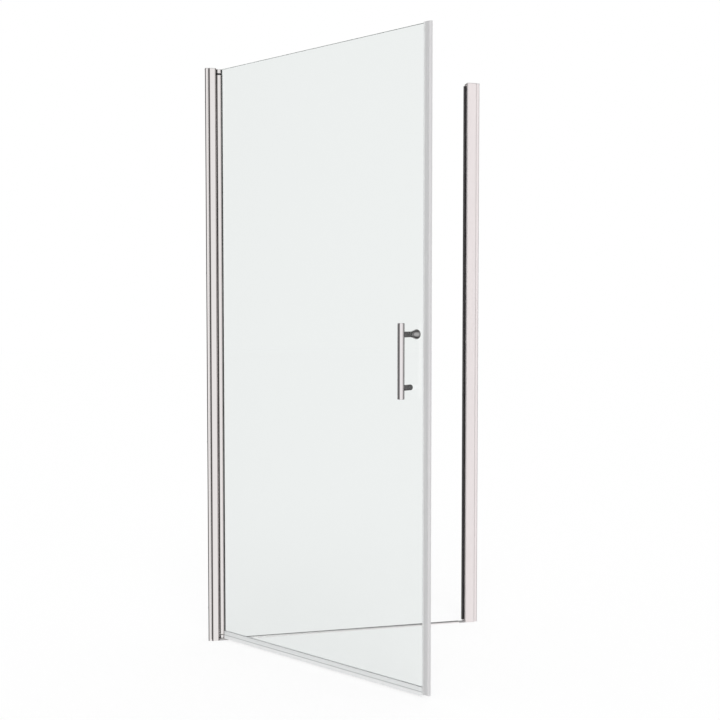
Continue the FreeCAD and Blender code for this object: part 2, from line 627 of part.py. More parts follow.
cut(magnet_strip, "z", "strip_lift", STRIP_TOP, box(*STRIP_MAGNET))
strip_magnet = new_body("strip_magnet")
add(strip_magnet, "z", "strip_lift+strip_foot", f"{STRIP_TOP}-strip_foot", box(*STRIP_MAGNET))


# Threshold bar: a low dam along the tray in front of the door, between two end blocks.
HINGE_END = "(pivot_inset+block_radius+bar_shoulder)"
STRIKE_END = f"({STRIKE_FACE}-bar_end_length)"
BAR_END_TOP = "(bar_height+bar_end_rise)"
threshold_bar = new_body("threshold_bar")
add(threshold_bar, "x", HINGE_END, STRIKE_END, box(BAR_FRONT, "0", BAR_BACK, "bar_height"))
soften(threshold_bar, "Fillet", edges_along(
    threshold_bar.Tip.Shape, "x", (BAR_FRONT, "bar_height"), (BAR_BACK, "bar_height"),
), "bar_round")
cut(threshold_bar, "x", HINGE_END, STRIKE_END, box(
    f"{BAR_FRONT}+bar_wall", "0", f"{BAR_BACK}-bar_wall", "bar_height-bar_wall"
))
for label, left, right in (
    ("threshold_hinge_end", HINGE_FACE, HINGE_END), ("threshold_strike_end", STRIKE_END, STRIKE_FACE)
):
    end_block = new_body(label)
    add(end_block, "x", left, right, box(BAR_FRONT, "0", BAR_BACK, BAR_END_TOP))
    soften(end_block, "Fillet", edges_along(
        end_block.Tip.Shape, "x", (BAR_FRONT, BAR_END_TOP), (BAR_BACK, BAR_END_TOP),
    ), "bar_round")
    if left == HINGE_FACE:
        cut(end_block, "z", "0", BAR_END_TOP, circle("pivot_inset", "0", "block_radius+notch_gap"))


# The door. Its pieces are drawn closed, with x along the glass from the pivot axis.
pivot_column = new_body("pivot_column", "door")
CHAMBER_CIRCLE = f"((column_radius+{BUSH_RADIUS})/2)"
CHAMBER_RADIUS = f"((column_radius-{BUSH_RADIUS})/2-column_web)"
add(pivot_column, "z", "column_lift", COLUMN_TOP, circle("0", "0", "column_radius"))
cut(pivot_column, "z", "column_lift", COLUMN_TOP, circle("0", "0", BUSH_RADIUS))
cut(pivot_column, "z", "column_lift", COLUMN_TOP, box(
    "0", f"-{SLOT_HALF}", "column_radius+glazing_gap", SLOT_HALF
))
cut(pivot_column, "z", "column_lift", COLUMN_TOP,
    circle(f"-{CHAMBER_CIRCLE}", "0", CHAMBER_RADIUS),
    circle("0", CHAMBER_CIRCLE, CHAMBER_RADIUS),
    circle("0", f"-{CHAMBER_CIRCLE}", CHAMBER_RADIUS))


def bush(label, inner_end, shoulder, outer_end):
    """A flanged bush: pressed in from inner_end to the shoulder, flanged from there out."""
    body = new_body(label, "door")
    turn(body, "XZ_Plane", ("0", "0", "0"), outline(
        ("pin_radius+pin_gap", inner_end), (BUSH_RADIUS, inner_end), (BUSH_RADIUS, shoulder),
        ("bush_flange_radius", shoulder), ("bush_flange_radius", outer_end),
        ("pin_radius+pin_gap", outer_end),
    ))


bush("top_bush", f"{COLUMN_TOP}-bush_entry", COLUMN_TOP, f"{COLUMN_TOP}+top_flange")
bush("bottom_bush", "column_lift+bush_entry", "column_lift", "column_lift-bottom_flange")

for label, near, far in (
    ("outer_glazing_strip", f"-{SLOT_HALF}", f"-{HALF_GLASS}"),
    ("inner_glazing_strip", HALF_GLASS, SLOT_HALF),
):
    strip = new_body(label, "door")
    add(strip, "z", "column_lift", COLUMN_TOP, box(
        GLASS_START, near, "column_radius+glazing_lip", far
    ))

UPPER_POST = "(handle_height+handle_length/2-handle_inset)"
LOWER_POST = "(handle_height-handle_length/2+handle_inset)"
glass_pane = new_body("glass_pane", "door")
NOTCH_END = f"({GLASS_START}+notch_width)"
FOOT_NOTCH_TOP = "(glass_lift+foot_notch_height)"
TOP_NOTCH_FOOT = f"({GLASS_TOP}-notch_height)"
GLASS_CORNERS = (
    (NOTCH_END, "glass_lift"), (GLASS_END, "glass_lift"), (GLASS_END, GLASS_TOP),
    (NOTCH_END, GLASS_TOP), (NOTCH_END, TOP_NOTCH_FOOT), (GLASS_START, TOP_NOTCH_FOOT),
    (GLASS_START, FOOT_NOTCH_TOP), (NOTCH_END, FOOT_NOTCH_TOP),
)
add(glass_pane, "y", f"-{HALF_GLASS}", HALF_GLASS, outline(*GLASS_CORNERS))
arris_edges = [
    name
    for face in (f"-{HALF_GLASS}", HALF_GLASS)
    for name in (
        edges_along(glass_pane.Tip.Shape, "x", (face, GLASS_TOP), (face, "glass_lift"))
        + edges_along(glass_pane.Tip.Shape, "z", (GLASS_END, face))
    )
]
soften(glass_pane, "Chamfer", arris_edges, "glass_round")
cut(glass_pane, "y", f"-{HALF_GLASS}", HALF_GLASS,
    circle(HANDLE_PLACE, LOWER_POST, "glass_hole_radius"),
    circle(HANDLE_PLACE, UPPER_POST, "glass_hole_radius"))


# Edge seal: a clear clip over the free edge of the glass, with a rounded magnet head.
edge_seal = new_body("edge_seal", "door")
HEAD_HALF = "(seal_head_width/2)"
CLIP_INSIDE = f"({HALF_GLASS}+seal_gap)"
add(edge_seal, "z", "edge_seal_lift", SEAL_TOP, box(
    CLIP_START, f"-{CLIP_HALF}", CLIP_END, CLIP_HALF
))
cut(edge_seal, "z", "edge_seal_lift", SEAL_TOP, box(
    CLIP_START, f"-{CLIP_INSIDE}", f"{GLASS_END}+seal_gap", CLIP_INSIDE
))
add(edge_seal, "z", "edge_seal_lift", SEAL_TOP, box(
    CLIP_END, f"-{HALF_GLASS}", HEAD_START, HALF_GLASS
))
add(edge_seal, "z", "edge_seal_lift", SEAL_TOP, box(
    HEAD_START, f"-{HEAD_HALF}", DOOR_REACH, HEAD_HALF
))
soften(edge_seal, "Fillet", edges_along(
    edge_seal.Tip.Shape, "z",
    (HEAD_START, f"-{HEAD_HALF}"), (HEAD_START, HEAD_HALF),
    (DOOR_REACH, f"-{HEAD_HALF}"), (DOOR_REACH, HEAD_HALF),
), "head_round")
EDGE_MAGNET = (
    f"({HEAD_START}+{DOOR_REACH}-magnet_thickness)/2", "-magnet_width/2",
    f"({HEAD_START}+{DOOR_REACH}+magnet_thickness)/2", "magnet_width/2",
)
cut(edge_seal, "z", "edge_seal_lift", SEAL_TOP, box(*EDGE_MAGNET))
edge_magnet = new_body("edge_magnet", "door")
add(edge_magnet, "z", "edge_seal_lift+seal_web", f"{SEAL_TOP}-seal_web", box(*EDGE_MAGNET))


# Bottom seal: a clip under the glass, two leaning fins over the threshold bar, and a wing
# that throws drips back into the shower.
bottom_seal = new_body("bottom_seal", "door")
BOTTOM_START = f"({NOTCH_END}+seal_play)"
BOTTOM_END = f"({CLIP_START}-seal_play)"
CLIP_TOP = "(glass_lift+bottom_clip_height)"
FIN_TOP_OUT = CLIP_HALF
FIN_TOP_IN = f"({CLIP_HALF}-fin_wall)"
add(bottom_seal, "x", BOTTOM_START, BOTTOM_END, box(f"-{CLIP_HALF}", WEB_FOOT, CLIP_HALF, CLIP_TOP))
cut(bottom_seal, "x", BOTTOM_START, BOTTOM_END, box(
    f"-{CLIP_INSIDE}", "glass_lift-seal_gap", CLIP_INSIDE, CLIP_TOP
))
for side in ("-", ""):
    add(bottom_seal, "x", BOTTOM_START, BOTTOM_END, outline(
        (f"{side}{FIN_TOP_OUT}", WEB_FOOT), (f"{side}({FIN_TOP_OUT}+fin_splay)", FIN_FOOT),
        (f"{side}({FIN_TOP_IN}+fin_splay)", FIN_FOOT), (f"{side}{FIN_TOP_IN}", WEB_FOOT),
    ))
WING_TIP = f"({CLIP_HALF}+wing_reach)"
add(bottom_seal, "x", BOTTOM_START, BOTTOM_END, outline(
    (CLIP_HALF, f"{WEB_FOOT}+bottom_web"), (WING_TIP, f"{WEB_FOOT}+bottom_web-wing_drop"),
    (WING_TIP, f"{WEB_FOOT}+bottom_web-wing_drop-wing_wall"),
    (CLIP_HALF, f"{WEB_FOOT}+bottom_web-wing_wall"),
))


# Handle: a tube with two posts through the glass, a knob behind the upper one.
BAR_LOW = "(handle_height-handle_length/2+end_cap_dome)"
BAR_HIGH = "(handle_height+handle_length/2-end_cap_dome)"
BAR_BORE = "(handle_radius-handle_wall)"
POST_FOOT = f"({HALF_GLASS}+gasket_thickness)"
handle_bar = new_body("handle_bar", "door")
add(handle_bar, "z", BAR_LOW, BAR_HIGH, circle(HANDLE_PLACE, f"-{BAR_AXIS}", "handle_radius"))
cut(handle_bar, "z", BAR_LOW, BAR_HIGH, circle(HANDLE_PLACE, f"-{BAR_AXIS}", BAR_BORE))

end_caps = new_body("handle_end_caps", "door")
for shoulder, outward in ((BAR_LOW, "-"), (BAR_HIGH, "+")):
    inward = "+" if outward == "-" else "-"
    turn(end_caps, "XZ_Plane", (HANDLE_PLACE, "0", BAR_AXIS), outline(
        ("0", f"{shoulder}{inward}end_cap_entry"), (BAR_BORE, f"{shoulder}{inward}end_cap_entry"),
        (BAR_BORE, shoulder), ("handle_radius", shoulder),
        ("handle_radius-end_cap_dome/2", f"{shoulder}{outward}end_cap_dome"),
        ("0", f"{shoulder}{outward}end_cap_dome"),
    ))

for label, height in (("handle_upper_post", UPPER_POST), ("handle_lower_post", LOWER_POST)):
    post = new_body(label, "door")
    add(post, "y", f"-{BAR_AXIS}", f"-{POST_FOOT}", circle(HANDLE_PLACE, height, "post_radius"))
    cut(post, "z", f"{height}-post_radius", f"{height}+post_radius",
        circle(HANDLE_PLACE, f"-{BAR_AXIS}", "handle_radius"))
    cut(post, "y", f"-({POST_FOOT}+stud_entry)", f"-{POST_FOOT}",
        circle(HANDLE_PLACE, height, "stud_radius"))

KNOB_END = f"({POST_FOOT}+knob_length)"
knob = new_body("handle_knob", "door")
turn(knob, "XY_Plane", (HANDLE_PLACE, "0", UPPER_POST), outline(
    ("stud_radius", POST_FOOT), ("post_radius", POST_FOOT), ("post_radius", f"{POST_FOOT}+knob_neck"),
    ("knob_radius", f"{KNOB_END}-knob_rim"), ("knob_radius", KNOB_END), ("0", KNOB_END),
    ("0", f"{POST_FOOT}+stud_entry"), ("stud_radius", f"{POST_FOOT}+stud_entry"),
))

rear_cap = new_body("handle_rear_cap", "door")
add(rear_cap, "y", POST_FOOT, f"{POST_FOOT}+rear_cap_length",
    circle(HANDLE_PLACE, LOWER_POST, "post_radius"))

studs = new_body("handle_studs", "door")
for height, far in ((LOWER_POST, POST_FOOT), (UPPER_POST, f"{POST_FOOT}+stud_entry")):
    add(studs, "y", f"-({POST_FOOT}+stud_entry)", far, circle(HANDLE_PLACE, height, "stud_radius"))


def add_rings(body, near, far, outer):
    """The same ring round both studs."""
    add(body, "y", near, far,
        circle(HANDLE_PLACE, LOWER_POST, outer), circle(HANDLE_PLACE, LOWER_POST, "stud_radius"),
        circle(HANDLE_PLACE, UPPER_POST, outer), circle(HANDLE_PLACE, UPPER_POST, "stud_radius"))


outer_washers = new_body("handle_outer_washers", "door")
add_rings(outer_washers, f"-{POST_FOOT}", f"-{HALF_GLASS}", "post_radius")
# On the shower side the washer is the flange of the bush that lines the hole in the glass.
glass_bushes = new_body("handle_glass_bushes", "door")
add_rings(glass_bushes, f"-{HALF_GLASS}", HALF_GLASS, "glass_hole_radius")
add_rings(glass_bushes, HALF_GLASS, POST_FOOT, "post_radius")

doc.recompute()
for item in doc.Objects:
    if "Invalid" in item.State or "Error" in item.State:
        raise RuntimeError(f"{item.Label} did not compute: {item.State}")

pieces = [item for item in doc.Objects if item.TypeId == "PartDesign::Body"]
for piece in pieces:
    if piece.Shape.isNull() or not piece.Shape.isValid() or not piece.Shape.Solids:
        raise RuntimeError(f"{piece.Label} is not a sound solid")

os.makedirs("parts", exist_ok=True)
for piece in pieces:
    piece.Shape.exportStep(f"parts/{piece.Label}.step")
    bounds = piece.Shape.BoundBox
    print(f"{piece.Label:24s} {len(piece.Shape.Solids)} solids, {piece.Shape.Volume:12.1f} mm3,"
          f" z {bounds.ZMin:8.2f} to {bounds.ZMax:8.2f}")
print(len(pieces), "pieces")
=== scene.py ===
# %% [markdown]
# A pivot shower door, half open: a sheet of toughened glass on a round aluminium column that
# turns inside the fold of a jamb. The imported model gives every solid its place, so this script
# only dresses it: it models anew the pieces whose edges and turned shapes catch the eye, gives
# every surface its own finish, and sets up a plain bright studio.

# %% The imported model
import json
import math

import bpy
from mathutils import Matrix, Vector


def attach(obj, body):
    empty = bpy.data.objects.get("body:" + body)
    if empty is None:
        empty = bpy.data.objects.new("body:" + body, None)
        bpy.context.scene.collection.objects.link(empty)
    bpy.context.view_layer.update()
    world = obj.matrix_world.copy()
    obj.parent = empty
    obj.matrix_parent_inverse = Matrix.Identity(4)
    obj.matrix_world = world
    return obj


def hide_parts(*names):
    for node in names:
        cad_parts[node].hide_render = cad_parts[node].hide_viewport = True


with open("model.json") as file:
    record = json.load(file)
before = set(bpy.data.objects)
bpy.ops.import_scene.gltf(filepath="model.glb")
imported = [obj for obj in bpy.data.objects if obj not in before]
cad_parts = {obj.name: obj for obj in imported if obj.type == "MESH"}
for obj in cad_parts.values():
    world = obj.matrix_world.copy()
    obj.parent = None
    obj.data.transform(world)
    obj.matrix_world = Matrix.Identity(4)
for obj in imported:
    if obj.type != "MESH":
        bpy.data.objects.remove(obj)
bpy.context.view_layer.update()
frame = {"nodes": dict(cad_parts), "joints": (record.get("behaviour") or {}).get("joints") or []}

# %% [markdown]
# The door is stored open, so its own axes are turned: x runs along the glass from the pivot,
# y into the shower and z up. A piece of the door is far easier to model while the door is shut,
# and one matrix then turns it into place. The angle and the axis come from the joint itself.

# %% Where the door stands
MM = 0.001
hinge = frame["joints"][0]
PIVOT = Vector(hinge["pos_m"])
OPEN_ANGLE = math.radians(-hinge["range_deg"][0])
DOOR = Matrix.Translation(PIVOT) @ Matrix.Rotation(-OPEN_ANGLE, 4, "Z")
UPRIGHT = Matrix.Identity(4)


def extent(node, axes=UPRIGHT):
    """Lowest and highest corner of a CAD node, measured along the given axes."""
    back = axes.inverted()
    points = [back @ vertex.co for vertex in frame["nodes"][node].data.vertices]
    return Vector(map(min, zip(*points))), Vector(map(max, zip(*points)))


print("open by", round(math.degrees(OPEN_ANGLE), 1), "degrees")

# %% [markdown]
# Every operator acts on what is selected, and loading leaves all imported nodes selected, so a
# piece starts with nothing selected but itself. By hand one would click the faces or edges to
# shape; a script picks them by their place instead.

# %% Picking by place
print("selected after loading:", len(bpy.context.selected_objects), "nodes")


def select_only(*pieces):
    """Select these pieces and nothing else. The last one becomes the active one."""
    bpy.ops.object.select_all(action="DESELECT")
    for piece in pieces:
        piece.select_set(True)
        bpy.context.view_layer.objects.active = piece


def start(add_primitive, **settings):
    """Add a primitive with nothing else selected, and return it."""
    bpy.ops.object.select_all(action="DESELECT")
    add_primitive(**settings)
    return bpy.context.object


def pick(piece, kind, wanted):
    """In edit mode, select only the faces or edges whose middle passes the test."""
    select_only(piece)
    bpy.ops.object.mode_set(mode="EDIT")
    bpy.ops.mesh.select_mode(type="FACE" if kind == "faces" else "EDGE")
    bpy.ops.mesh.select_all(action="DESELECT")
    bpy.ops.object.mode_set(mode="OBJECT")
    corners = piece.data.vertices
    for part in piece.data.polygons if kind == "faces" else piece.data.edges:
        middle = sum((corners[index].co for index in part.vertices), Vector()) / len(part.vertices)
        part.select = wanted(middle, part)
    bpy.ops.object.mode_set(mode="EDIT")


# %% [markdown]
# A modifier only shows its effect until it is applied. Applied at once, it leaves plain mesh that
# the next step can pick and shape. A Boolean takes the shape of one piece out of another, which
# is how a mill or a drill would work.

# %% Applying modifiers
def apply_modifier(piece, kind, **settings):
    """Add a modifier with its settings and apply it at once."""
    select_only(piece)
    modifier = piece.modifiers.new(kind.title(), kind)
    for name, value in settings.items():
        setattr(modifier, name, value)
    bpy.ops.object.modifier_apply(modifier=modifier.name)
    print(f"{kind.lower()} leaves {len(piece.data.polygons)} faces")


def cut_away(piece, tool):
    """Subtract a closed tool from a piece, and throw the tool away."""
    apply_modifier(piece, "BOOLEAN", operation="DIFFERENCE", object=tool, solver="EXACT")
    bpy.data.objects.remove(tool)


# %% [markdown]
# A finished piece carries its place in its mesh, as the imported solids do, and its object stays at
# the origin. Doubles are merged and faces turned outwards, then the piece gets its material, the
# body that it moves with, and the solids that it stands for.

# %% Finishing a piece
SMOOTH_ANGLE = math.radians(35)
MERGE_WITHIN_MM = 0.001


def finish_piece(piece, name, material, body, replaces=(), axes=UPRIGHT):
    """Name a piece, put its place into its mesh, and hang it on its body."""
    piece.name = name
    piece.data.name = name
    piece.matrix_world = axes @ piece.matrix_world
    select_only(piece)
    bpy.ops.object.transform_apply(location=True, rotation=True, scale=True)
    bpy.ops.object.mode_set(mode="EDIT")
    bpy.ops.mesh.select_all(action="SELECT")
    bpy.ops.mesh.remove_doubles(threshold=MERGE_WITHIN_MM * MM)
    bpy.ops.mesh.normals_make_consistent(inside=False)
    bpy.ops.object.mode_set(mode="OBJECT")
    bpy.ops.object.shade_smooth_by_angle(angle=SMOOTH_ANGLE)
    piece.data.materials.clear()
    piece.data.materials.append(material)
    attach(piece, body)
    if replaces:
        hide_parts(*replaces)
    print(f"{name}: {len(piece.data.polygons)} faces")
    return piece


print("edges under", round(math.degrees(SMOOTH_ANGLE)), "degrees are shaded smooth")

# %% [markdown]
# Colours are chosen as on screen, in sRGB, while nodes work with linear light. One function
# turns the first into the second. One more adds a node, sets it, and links what feeds it.

# %% Colours and nodes
def linear(code):
    """The linear colour of an sRGB hex code."""
    channels = [int(code[place:place + 2], 16) / 255 for place in (1, 3, 5)]
    return (*[c / 12.92 if c <= 0.04045 else ((c + 0.055) / 1.055) ** 2.4 for c in channels], 1)


def add_node(tree, kind, settings=None, feeds=None):
    """Add a node with its settings. A feed is a value or another node's output."""
    node = tree.nodes.new(kind)
    for name, value in (settings or {}).items():
        setattr(node, name, value)
    for name, value in (feeds or {}).items():
        if isinstance(value, bpy.types.NodeSocket):
            tree.links.new(value, node.inputs[name])
        else:
            node.inputs[name].default_value = value
    return node


def new_material(name, values):
    """A material with its Principled shader set, and the object's own coordinates in metres."""
    material = bpy.data.materials.new(name)
    material.use_nodes = True
    tree = material.node_tree
    shader = tree.nodes["Principled BSDF"]
    for socket, value in values.items():
        shader.inputs[socket].default_value = value
    places = add_node(tree, "ShaderNodeTexCoord").outputs["Object"]
    print("finish:", name)
    return material, tree, shader, places


print("the middle grey #808080 is", round(linear("#808080")[0], 3), "in linear light")

# %% [markdown]
# No real surface is the same all over. Noise at a real size in millimetres moves the roughness,
# the height and the colour between close limits, and the eye reads that as a material. Real die
# lines, pebble and grit are a tenth of a millimetre or finer and would never show, so they are
# drawn as coarse as they need to be: 0.3 to 0.8 mm. A Mix node has sockets for every kind of
# data under the same names, so those for colours are found by their number.

# %% Patterns
LOW_NOISE, HIGH_NOISE = 0.3, 0.7  # nearly all of the noise lies between these
FACTOR, COLOUR_A, COLOUR_B, COLOUR_OUT = 0, 6, 7, 2


def grain(tree, places, size_mm, stretch=(1, 1, 1), detail=3.0, turn=0.0):
    """Noise whose spots are size_mm wide, drawn out along axes that are turned about z."""
    scaled = add_node(tree, "ShaderNodeMapping", {"vector_type": "TEXTURE"}, {
        "Vector": places, "Rotation": (0, 0, turn),
        "Scale": [size_mm * MM * along for along in stretch],
    })
    return add_node(tree, "ShaderNodeTexNoise", feeds={
        "Vector": scaled.outputs["Vector"], "Scale": 1.0, "Detail": detail,
    }).outputs["Fac"]


def vary(tree, shader, socket, pattern, low, high):
    """Let a pattern move a shader's value between two limits."""
    spread = add_node(tree, "ShaderNodeMapRange", feeds={
        "Value": pattern, "From Min": LOW_NOISE, "From Max": HIGH_NOISE,
        "To Min": low, "To Max": high,
    })
    tree.links.new(spread.outputs["Result"], shader.inputs[socket])


def emboss(tree, shader, pattern, height_mm, strength=1.0):
    """Raise the surface by a pattern, by a real height."""
    bump = add_node(tree, "ShaderNodeBump", feeds={
        "Height": pattern, "Distance": height_mm * MM, "Strength": strength,
    })
    tree.links.new(bump.outputs["Normal"], shader.inputs["Normal"])


def tint(tree, shader, pattern, code_low, code_high):
    """Let a pattern move the base colour between two colours."""
    mixed = add_node(tree, "ShaderNodeMix", {"data_type": "RGBA"}, {
        FACTOR: pattern, COLOUR_A: linear(code_low), COLOUR_B: linear(code_high),
    })
    tree.links.new(mixed.outputs[COLOUR_OUT], shader.inputs["Base Color"])


print("noise is spread from", LOW_NOISE, "to", HIGH_NOISE)

# %% [markdown]
# An extrusion has one section along its whole length, so what is dark or pale at one place of the
# section runs along it as a band. A colour ramp across the section paints such bands at real
# distances. Its fourth channel, alpha, is free to carry one more value along the section.

# %% Bands across a section
def bands_across(tree, places, across, low, bands):
    """A colour ramp along the direction across, from the place low. The bands are
    (millimetres, colour, alpha)."""
    distance = add_node(tree, "ShaderNodeVectorMath", {"operation": "DOT_PRODUCT"}, {
        0: places, 1: across,
    })
    reach = bands[-1][0]
    section = add_node(tree, "ShaderNodeMapRange", feeds={
        "Value": distance.outputs["Value"], "From Min": low, "From Max": low + reach * MM,
    })
    ramp = add_node(tree, "ShaderNodeValToRGB", feeds={"Fac": section.outputs["Result"]})
    stops = ramp.color_ramp.elements
    stops.remove(stops[-1])
    for index, (place, code, alpha) in enumerate(bands):
        stop = stops[0] if index == 0 else stops.new(place / reach)
        stop.position = place / reach
        stop.color = (*linear(code)[:3], alpha)
    print(f"{len(stops)} stops over {reach} mm of the section")
    return ramp.outputs


# %% [markdown]
# Where two bright profiles slide or turn in each other, the seam is narrow and deep, and hardly
# any light reaches it. That shade is painted into the base colour: an Ambient Occlusion node
# finds such places by how much of the sky they see. The floor makes no seam, so the lowest few
# millimetres are left out.

# %% Painted shade in seams
SEAM_REACH_MM = 6.0
SEAM_SAMPLES = 8
SKY_IN_SEAM, SKY_OUTSIDE = 0.6, 0.97  # the share of the sky that a place there sees


def paint_seam_shade(tree, shader, places, code):
    """Mix a dark painted shade into the base colour where the surface lies in a seam."""
    openness = add_node(tree, "ShaderNodeAmbientOcclusion", {"samples": SEAM_SAMPLES}, {
        "Distance": SEAM_REACH_MM * MM,
    })
    share = add_node(tree, "ShaderNodeMapRange", feeds={
        "Value": openness.outputs["AO"], "From Min": SKY_IN_SEAM, "From Max": SKY_OUTSIDE,
    })
    height = add_node(tree, "ShaderNodeSeparateXYZ", feeds={"Vector": places}).outputs["Z"]
    by_the_floor = add_node(tree, "ShaderNodeMath", {"operation": "LESS_THAN"}, {
        0: height, 1: SEAM_REACH_MM * MM,
    })
    left_unshaded = add_node(tree, "ShaderNodeMath", {"operation": "MAXIMUM"}, {
        0: share.outputs["Result"], 1: by_the_floor.outputs["Value"],
    })
    unshaded_colour = shader.inputs["Base Color"].links[0].from_socket
    # The dark colour is painted shade, mixed in where the seam sees little sky.
    mixed = add_node(tree, "ShaderNodeMix", {"data_type": "RGBA"}, {
        FACTOR: left_unshaded.outputs["Value"], COLOUR_A: linear(code), COLOUR_B: unshaded_colour,
    })
    tree.links.new(mixed.outputs[COLOUR_OUT], shader.inputs["Base Color"])


print("a seam is dark within", SEAM_REACH_MM, "mm")

# %% [markdown]
# Jambs, channels, the column and the threshold bar are pressed through a die as aluminium
# extrusions, then brightened and anodised. Up close that leaves faint lines along the length,
# and the clear anodic film warms the silver a little. From a metre away the eye sees a soft
# mirror, so the lines only stir the roughness and lift the surface by a hair. The strike side
# and the threshold bar are satin: their film scatters part of the light, so they look pale from
# every side. Bands of colour paint shade and dark reflection in a narrow strip beside the wall,
# and the dark lines where the jamb folds over its channel and round the column; painted shade
# also darkens the seams.

# %% Anodised aluminium
DIE_LINE_MM = 0.5
DIE_LINE_DEPTH_MM = 0.002
LINE_RUN = 400
CLOUD_MM = 30
SMOOTHER, ROUGHER = 0.8, 1.3  # how far a die line moves the roughness


def anodised_aluminium(name, lengthwise, roughness, colours, metallic=1.0, seams=None, bands=()):
    """lengthwise is how far the die lines run along x, y and z, in widths of a line. seams is
    the colour of the painted shade in the seams, and bands are (millimetres, colour) of painted
    shade and dark reflection, from the hinge side's wall."""
    material, tree, shader, places = new_material(name, {
        "Metallic": metallic, "Roughness": roughness,
    })
    lines = grain(tree, places, DIE_LINE_MM, lengthwise)
    vary(tree, shader, "Roughness", lines, roughness * SMOOTHER, roughness * ROUGHER)
    tint(tree, shader, grain(tree, places, CLOUD_MM, lengthwise, detail=1.0), *colours)
    emboss(tree, shader, lines, DIE_LINE_DEPTH_MM, strength=0.5)
    # The bands multiply painted shade and dark reflection into the base colour.
    if bands:
        ramp = bands_across(tree, places, (1, 0, 0), 0, [(*band, 1) for band in bands])
        plain = shader.inputs["Base Color"].links[0].from_socket
        mixed = add_node(tree, "ShaderNodeMix", {"data_type": "RGBA", "blend_type": "MULTIPLY"}, {
            FACTOR: 1.0, COLOUR_A: plain, COLOUR_B: ramp["Color"],
        })
        tree.links.new(mixed.outputs[COLOUR_OUT], shader.inputs["Base Color"])
    if seams:
        paint_seam_shade(tree, shader, places, seams)
    return material


BRIGHT = ("#EAE5E4", "#EFEBEA")
UNTINTED = "#FFFFFF"
UPWARD = (1, 1, LINE_RUN)
bright_aluminium = anodised_aluminium(
    "bright_anodised_aluminium", UPWARD, 0.08, BRIGHT, seams="#5C5958")
# The jamb's left fold ends 15 mm from the wall, and its right fold starts at 30 mm.
# The dark bands at both folds are painted dark reflection and shade.
jamb_aluminium = anodised_aluminium(
    "bright_jamb_aluminium", UPWARD, 0.08, BRIGHT, seams="#7C7978", bands=(
        (0, "#827F7F"), (14.2, "#827F7F"), (15.4, UNTINTED), (29.8, UNTINTED),
        (30.6, "#A8A4A4"), (32.2, "#A8A4A4"), (33.0, UNTINTED), (35.0, UNTINTED),
    ))
# The face on the wall stays untinted, and the first 2 mm beside it get painted shade and dark
# reflection.
channel_aluminium = anodised_aluminium(
    "bright_channel_aluminium", UPWARD, 0.08, BRIGHT, seams="#3C3A39", bands=(
        (0, UNTINTED), (0.05, UNTINTED), (0.1, "#4E4E4D"), (1.8, "#4E4E4D"), (2.6, UNTINTED), (25.0, UNTINTED),
    ))
satin_aluminium = anodised_aluminium(
    "satin_anodised_aluminium", UPWARD, 0.35, ("#F0E9E9", "#F5EEEE"), metallic=0.6)
bar_aluminium = anodised_aluminium(
    "anodised_bar_aluminium", (LINE_RUN, 1, 1), 0.25, ("#F4F2F2", "#FAF8F8"))
print("die lines are drawn", DIE_LINE_MM, "mm wide")

# %% [markdown]
# The caps on the jambs and the ends of the threshold bar are injection moulded ABS in a silver
# paint. The eye sees a calm grey sheen with the finest pebble, never a mirror.

# %% Silver painted ABS
PEBBLE_MM = 0.6
PAINT_CLOUD_MM = 12


def silver_painted_abs():
    material, tree, shader, places = new_material("silver_painted_abs", {
        "Metallic": 0.6, "Roughness": 0.35, "IOR": 1.5,
    })
    pebble = grain(tree, places, PEBBLE_MM)
    vary(tree, shader, "Roughness", pebble, 0.3, 0.42)
    tint(tree, shader, grain(tree, places, PAINT_CLOUD_MM), "#B0AFAF", "#BDBBBB")
    emboss(tree, shader, pebble, height_mm=0.01)
    return material


silver_abs = silver_painted_abs()

# %% [markdown]
# The pivot blocks are die cast zinc, plated bright. Castings are never quite flat, so their
# mirror swims a little: broad low waves in the surface show that better than any colour could.
# The blocks sit deep in the jamb, so their seams get a nearly black painted shade.

# %% Plated die cast zinc
PLATING_CLOUD_MM = 2
CASTING_WAVE_MM = 4
CASTING_WAVE_DEPTH_MM = 0.01


def plated_zinc():
    material, tree, shader, places = new_material("bright_plated_zinc", {
        "Metallic": 1.0, "Roughness": 0.08,
    })
    vary(tree, shader, "Roughness", grain(tree, places, PLATING_CLOUD_MM), 0.05, 0.12)
    emboss(tree, shader, grain(tree, places, CASTING_WAVE_MM, detail=1.0),
           CASTING_WAVE_DEPTH_MM, strength=0.6)
    tint(tree, shader, grain(tree, places, 6 * PLATING_CLOUD_MM), "#EBE8E7", "#F0EDEC")
    paint_seam_shade(tree, shader, places, "#2C2A2A")
    return material


zinc = plated_zinc()

# %% [markdown]
# The handle is brass, polished and chrome plated: a clean cool mirror. A trace of fingermarks
# makes its roughness uneven, which keeps long highlights from looking like plastic.

# %% Chrome plated brass
FINGERMARK_MM = 14


def chrome_plated_brass():
    material, tree, shader, places = new_material("chrome_plated_brass", {
        "Base Color": linear("#EEEAEB"), "Metallic": 1.0, "Roughness": 0.05,
    })
    vary(tree, shader, "Roughness", grain(tree, places, FINGERMARK_MM), 0.04, 0.1)
    return material


chrome = chrome_plated_brass()

# %% [markdown]
# Pins, screws, washer and studs are turned stainless steel, a shade darker than the chrome. The
# tool leaves fine rings round a pin, which blur what it mirrors.

# %% Turned stainless steel
TOOL_RING_MM = 0.3
RING_RUN = 20


def turned_stainless():
    material, tree, shader, places = new_material("turned_stainless_steel", {
        "Base Color": linear("#C9C6C3"), "Metallic": 1.0, "Roughness": 0.25,
    })
    rings = grain(tree, places, TOOL_RING_MM, (RING_RUN, RING_RUN, 1))
    vary(tree, shader, "Roughness", rings, 0.2, 0.32)
    emboss(tree, shader, rings, height_mm=0.002)
    return material


stainless = turned_stainless()

